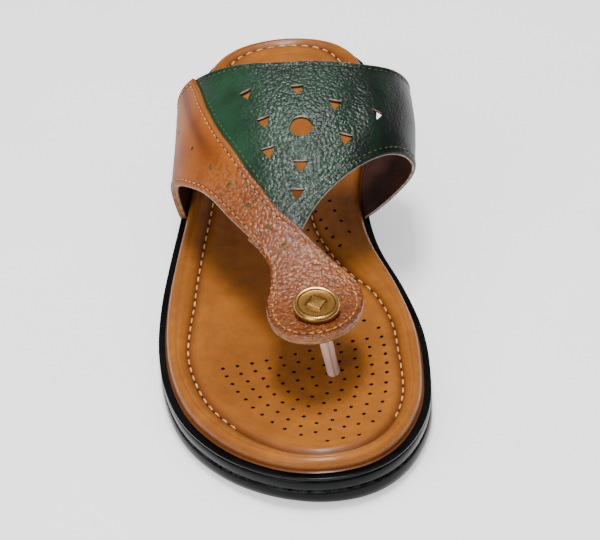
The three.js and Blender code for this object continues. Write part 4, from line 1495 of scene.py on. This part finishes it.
    def cut_edge_highlights(self) -> bpy.types.Object:
        """Builds the pale cut edge turned up heelward of each hole cut in the band, as a painted highlight.

        Returns:
            The piece.
        """
        corner = self.triangle_side / math.sqrt(3)
        spans = [(s, x, corner * 1.02, 30, 150) for s, x in self.triangles.rows]
        paths, outs = [], []
        for from_heel, across, radius, start, end in [*spans, (*self.round_hole, 45, 135)]:
            middle, right, back, out = axes_at(across, from_heel)
            t = np.linspace(0, 1, 13)[:, None]
            if radius < self.round_hole[2]:
                turns = np.radians([start, end])
                ends = [middle + radius * (right * math.cos(a) + back * math.sin(a)) for a in turns]
                path = ends[0] * (1 - t) + ends[1] * t
            else:
                angle = np.radians(start + (end - start) * t)
                path = middle + (radius + 0.1) * (right * np.cos(angle) + back * np.sin(angle))
            paths.append(path - 0.05 * out)
            outs.append(out)
        points, faces = rounded(np.array(paths), np.array(outs), 0.55, 0.5)
        piece = make_piece("band_cut_edge_highlights", points, faces, [self.edge])
        return piece

    def seam_rows(self, threads: dict[Thread, bpy.types.Material], needle: bpy.types.Material) -> None:
        """Sews every row on the straps.

        Args:
            threads: The finish of each thread.
            needle: The needle holes' finish.
        """
        place = self.overlay_grid()
        pattern = np.stack(place, axis=-1)
        heel, front = self.overlay_edges()
        tip = heel[DRAWN:]
        neck = pattern[self.side_rows:]
        outline = np.concatenate([front, neck[:, -1], neck[-1, ::-1], neck[::-1, 0], tip[::-1]])
        back = along_table(HEEL_EDGE, "from_heel", PEAK_ROUND + 0.02, -1)
        top = along_table(HEEL_EDGE, "from_heel", 1, PEAK_ROUND)
        below = along_table(MEDIAL_EDGE, "from_heel", 0.03, 1)
        rows = (
            ("overlay_stitches", outline, 2.1, 1.3, Thread.AMBER, Stitch(2.9, 1.9, 0.5)),
            ("overlay_back_stitches", back[12:], 2.1, 1.3, Thread.AMBER, Stitch(2.9, 1.9, 0.5)),
            ("seam_stitches", tip[::-1][25:], -1.5, -0.1, Thread.OLIVE, Stitch(2.6, 1.7, 0.42)),
            ("band_top_stitches", top, 2.2, -0.15, Thread.OLIVE, Stitch(2.6, 1.7, 0.42)),
            ("band_front_stitches", below, 2.6, -0.15, Thread.OLIVE, Stitch(2.6, 1.7, 0.42)),
        )
        for name, curve, aside, out, thread, gauge in rows:
            spread = soften(resample(curve * [AROUND_MM, 1.0], 900), 9) / [AROUND_MM, 1.0]
            line = soften(inset(spread, aside), 5)
            line = line[np.abs(line[:, 0]) < 0.97]
            points = off_last(*line.T, out)
            outward = off_last(*line.T, out + 1) - points
            sew(name, points, outward, gauge, threads[thread], needle)


@dataclass
class ToePost:
    """The loop between the toes: an oval leather post, flared where it is sewn to the tab."""

    leather: bpy.types.Material | None = None
    wide: float = 4.6
    long: float = 6.4
    from_heel: float = 191.5
    top: tuple[float, float] = (8.4, 41.8)
    foot: tuple[float, float] = (12.4, 14.5)

    def build(self) -> bpy.types.Object:
        """Builds the post: an oval carried down a line, flared above, with a pressed fold in front.

        Returns:
            The piece.
        """
        t = np.linspace(0, 1, 48)[:, None]
        angle = np.linspace(0, 2 * math.pi, 72, endpoint=False)[None]
        fold = np.exp(-(((angle - 1.62 * math.pi) / 0.16) ** 2))
        swell = 1 + 0.26 * np.exp(-t / 0.09) + 0.05 * np.sin(11 * t + 2) * np.exp(-((t - 0.8) ** 2) / 0.05)
        radius = swell * (1 - 0.12 * fold)
        x = self.top[0] + (self.foot[0] - self.top[0]) * t + self.wide / 2 * np.cos(angle) * radius
        y = LENGTH / 2 - self.from_heel + self.long / 2 * np.sin(angle) * radius
        z = self.top[1] + (self.foot[1] - self.top[1]) * t + 0 * angle
        side = np.stack([x, y, z], axis=-1)
        ends = np.repeat(side[[0, -1]].mean(axis=1, keepdims=True), angle.size, axis=1)
        rings = np.concatenate([ends[:1], side, ends[1:]])
        # Painted shade along the pressed fold.
        shade = np.concatenate([fold, fold * np.ones_like(t), fold]) * 0.55
        faces = grid_faces(len(rings), angle.size, wrap=True)
        piece = make_piece("toe_post_loop", rings.reshape(-1, 3), faces, [self.leather],
                           attributes={"shade": shade})
        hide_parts("toe_post")
        return piece


@dataclass
class Badge:
    """The cast oval badge: a rounded rim round an antiqued recess, and a plain raised lozenge."""

    brass: bpy.types.Material | None = None
    from_heel: float = 197.0
    across: float = 8.0
    long: float = 14.8
    wide: float = 17.0
    turn: float = 0.2
    lean: float = 0.17
    # dark: patina in the recess, and painted shade at the foot of the rim and underneath.
    profile: Table = Table(("row", "size", "pointed", "up", "dark"), (
        (0, 0, 1, 2.5, 0.05), (1, 0.1, 1, 2.5, 0.05), (2, 0.3, 1, 2.45, 0.05), (3, 0.42, 1, 2.35, 0.1),
        (4, 0.46, 0.9, 1.95, 0.7), (5, 0.52, 0.4, 1.8, 0.75), (6, 0.66, 0, 1.8, 0.5), (7, 0.78, 0, 1.85, 0.6),
        (8, 0.81, 0, 2.2, 0.2), (9, 0.84, 0, 2.35, 0), (10, 0.9, 0, 2.4, 0), (11, 0.96, 0, 2.1, 0),
        (12, 1, 0, 1.4, 0.2), (13, 0.99, 0, 0.1, 1), (14, 0.9, 0, 0.05, 1),
    ))

    def build(self) -> bpy.types.Object:
        """Builds the badge: its profile carried round an ellipse, bent to the tab and leaning forward.

        Returns:
            The piece.
        """
        row = np.linspace(0, 14, 71)
        size, pointed, up, dark = (
            self.profile.column(name, row)[:, None] for name in ("size", "pointed", "up", "dark")
        )
        angle = np.linspace(0, 2 * math.pi, 96, endpoint=False)[None]
        lozenge = 1 / (np.abs(np.cos(angle)) + np.abs(np.sin(angle)))
        reach = np.clip(size, 0, None) * (1 + (lozenge - 1) * pointed) / 2
        along, over = reach * self.long * np.cos(angle), reach * self.wide * np.sin(angle)
        x = self.across + along * math.cos(self.turn) - over * math.sin(self.turn)
        back = along * math.sin(self.turn) + over * math.cos(self.turn)
        s = self.from_heel - back
        lift = np.clip(up, 0, 1) * (back + self.wide / 2) * self.lean
        points = off_last(around_at(x, s), s, 1.5 + up + lift)
        under = np.repeat(points[-1:].mean(axis=1, keepdims=True), angle.size, axis=1)
        rings = np.concatenate([points, under])
        shade = np.concatenate([dark * np.ones_like(angle), np.ones_like(angle)])
        piece = make_piece("badge_disc", rings.reshape(-1, 3), grid_faces(len(rings), angle.size, wrap=True),
                           [self.brass], attributes={"shade": shade})
        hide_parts("ornament")
        return piece


@dataclass
class Studio:
    """The light tent: a white floor, soft lamps above and in front, and the camera."""

    paper: bpy.types.Material | None = None
    target: tuple[float, float, float] = (0.0, 0.0, 18.0)
    distance: float = 920.0
    elevation: float = 34.0
    roll: float = -4.2
    lens: float = 149.6
    centre: tuple[float, float] = (0.018, -0.02275)
    lamps: tuple[tuple[str, tuple[float, float, float], tuple[float, float], float], ...] = (
        ("overhead_strip", (0.0, -0.12, 1.1), (0.2, 0.45), 12.0),
        ("overhead_tent", (0.0, -0.15, 1.3), (1.8, 1.8), 13.0),
        ("front_softbox", (-0.75, -0.9, 0.7), (0.7, 0.7), 7.0),
    )

    def camera(self) -> None:
        """Places the camera at the photograph's angle, aimed at the shoe."""
        height, roll = math.radians(self.elevation), math.radians(self.roll)
        back = Vector((0, -math.cos(height), math.sin(height)))
        right, up = Vector((1, 0, 0)), Vector((0, math.sin(height), math.cos(height)))
        right, up = right * math.cos(roll) + up * math.sin(roll), up * math.cos(roll) - right * math.sin(roll)
        place = (Vector(self.target) + Vector(SHIFT.tolist()) + back * self.distance) * MM
        data = bpy.data.cameras.new("camera")
        data.lens, data.sensor_width, data.clip_end = self.lens, 36.0, 20.0
        data.shift_x, data.shift_y = self.centre
        camera = bpy.data.objects.new("camera", data)
        camera.matrix_world = Matrix.Translation(place) @ Matrix((right, up, back)).transposed().to_4x4()
        bpy.context.scene.collection.objects.link(camera)
        bpy.context.scene.camera = camera

    def light(self) -> None:
        """Hangs the lamps, each facing the shoe, in a dim white tent."""
        world = bpy.data.worlds.new("light_tent")
        world.use_nodes = True
        world.node_tree.nodes["Background"].inputs["Color"].default_value = (1, 1, 1, 1)
        world.node_tree.nodes["Background"].inputs["Strength"].default_value = 0.24
        bpy.context.scene.world = world
        for name, place, size, power in self.lamps:
            data = bpy.data.lights.new(name, "AREA")
            data.energy, data.shape = power, "RECTANGLE"
            data.size, data.size_y = size
            lamp = bpy.data.objects.new(name, data)
            lamp.location = place
            lamp.rotation_euler = (Vector((0, 0, 0.04)) - Vector(place)).to_track_quat("-Z", "Y").to_euler()
            bpy.context.scene.collection.objects.link(lamp)

    def floor(self) -> None:
        """Lays the white floor."""
        mesh = bpy.data.meshes.new("floor")
        mesh.from_pydata([(-3, -3, 0), (3, -3, 0), (3, 3, 0), (-3, 3, 0)], [], [(0, 1, 2, 3)])
        mesh.materials.append(self.paper)
        floor = bpy.data.objects.new("floor", mesh)
        bpy.context.scene.collection.objects.link(floor)


SHIFT = shift_to_frame()


def main() -> None:
    """Builds the sandal's pieces in order, then the studio."""
    logging.basicConfig(level=logging.INFO, format="%(message)s")
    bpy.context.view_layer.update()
    # Black foam with a glossy skin: one soft highlight along each band; dust and a painted highlight
    # grey the step.
    rubber = MouldedPolyurethane("moulded_polyurethane", "#040506", "#080B0C", "#62635B", 0.24).material()
    # Caramel calf: a soft satin gloss over clouds of honey and chestnut.
    insole = BurnishedLeather("burnished_calf", "#A26022", "#8C511C", "#461D09", 0.46, 0.25).material()
    # Embossed and glazed leather: small bright glints on each pebble, deeper colour between them.
    tan = PebbledLeather(
        "tan_pebbled_leather", "#9C551E", "#844312", "#431905", 1.3, 0.42, 0.32, 0.9,
    ).material()
    green = PebbledLeather(
        "green_pebbled_leather", "#22432D", "#13291B", "#030805", 1.25, 0.5, 0.28, 0.95,
    ).material()
    # Split leather, dull and dark: partly its own brown, partly painted shade, so that the inside
    # of the straps falls away.
    lining = FibrousSurface("brown_split_lining", "#4A271E", "#2A140F", 8, 0.8, 0.1, 0.7).material()
    # Cut leather: a pale dull line where the band's holes show their thickness, a tan one elsewhere.
    raw = FibrousSurface("raw_leather_edge", "#A89C8A", "#75685A", 2, 0.4, 0.08, 0.8).material()
    tan_edge = FibrousSurface("dyed_leather_edge", "#99683F", "#704522", 2, 0.4, 0.08, 0.6).material()
    # Leather crushed by a round tool: small dull olive spots.
    mark = FibrousSurface("pressed_leather_mark", "#6B6230", "#43331A", 1, 0.4, 0.05, 0.6).material()
    # The inside of an air hole or a needle hole: a dark dot, painted shade.
    hole = FibrousSurface("hole_wall_painted_shade", "#2A1406", "#170A04", 2, 0.5, 0.05, 0.9).material()
    # Matt studio paper with a little light of its own, so that the ground stays pale.
    paper = FibrousSurface("white_paper", "#F8F8F8", "#F4F4F4", 60, 2.0, 0.02, 0.8, 0.75).material()
    # Glossy pinkish leather, lightened past its own colour as painted light in the tab's shadow:
    # the palest thing on the shoe.
    post = BurnishedLeather("pale_post_leather", "#FFDFCE", "#F4CBB8", "#BC8070", 0.3, 0.3).material()
    brass = CastBrass("antique_cast_brass", "#C2924E", "#55340F").material()
    # Twisted polyester: short satin dashes, lighter than the leather they are sewn in.
    colours = {
        Thread.PEACH: ("#E9B47C", "#C4844C"), Thread.AMBER: ("#D09A5C", "#96602C"),
        Thread.OLIVE: ("#56633C", "#354022"),
    }
    threads = {
        kind: FibrousSurface(f"{kind.value}_polyester_thread", *pair, 1.5, 0.3, 0.1, 0.6).material()
        for kind, pair in colours.items()
    }
    sole = Sole(rubber)
    sole.body()
    sole.tread()
    footbed = Footbed(insole, hole)
    footbed.cushion()
    footbed.stitches(threads[Thread.PEACH])
    straps = Straps(green, tan, lining, raw, tan_edge, mark)
    straps.band()
    straps.overlays()
    straps.cut_edge_highlights()
    straps.seam_rows(threads, hole)
    ToePost(post).build()
    Badge(brass).build()
    studio = Studio(paper)
    studio.light()
    studio.floor()
    studio.camera()


if __name__ == "__main__":
    main()
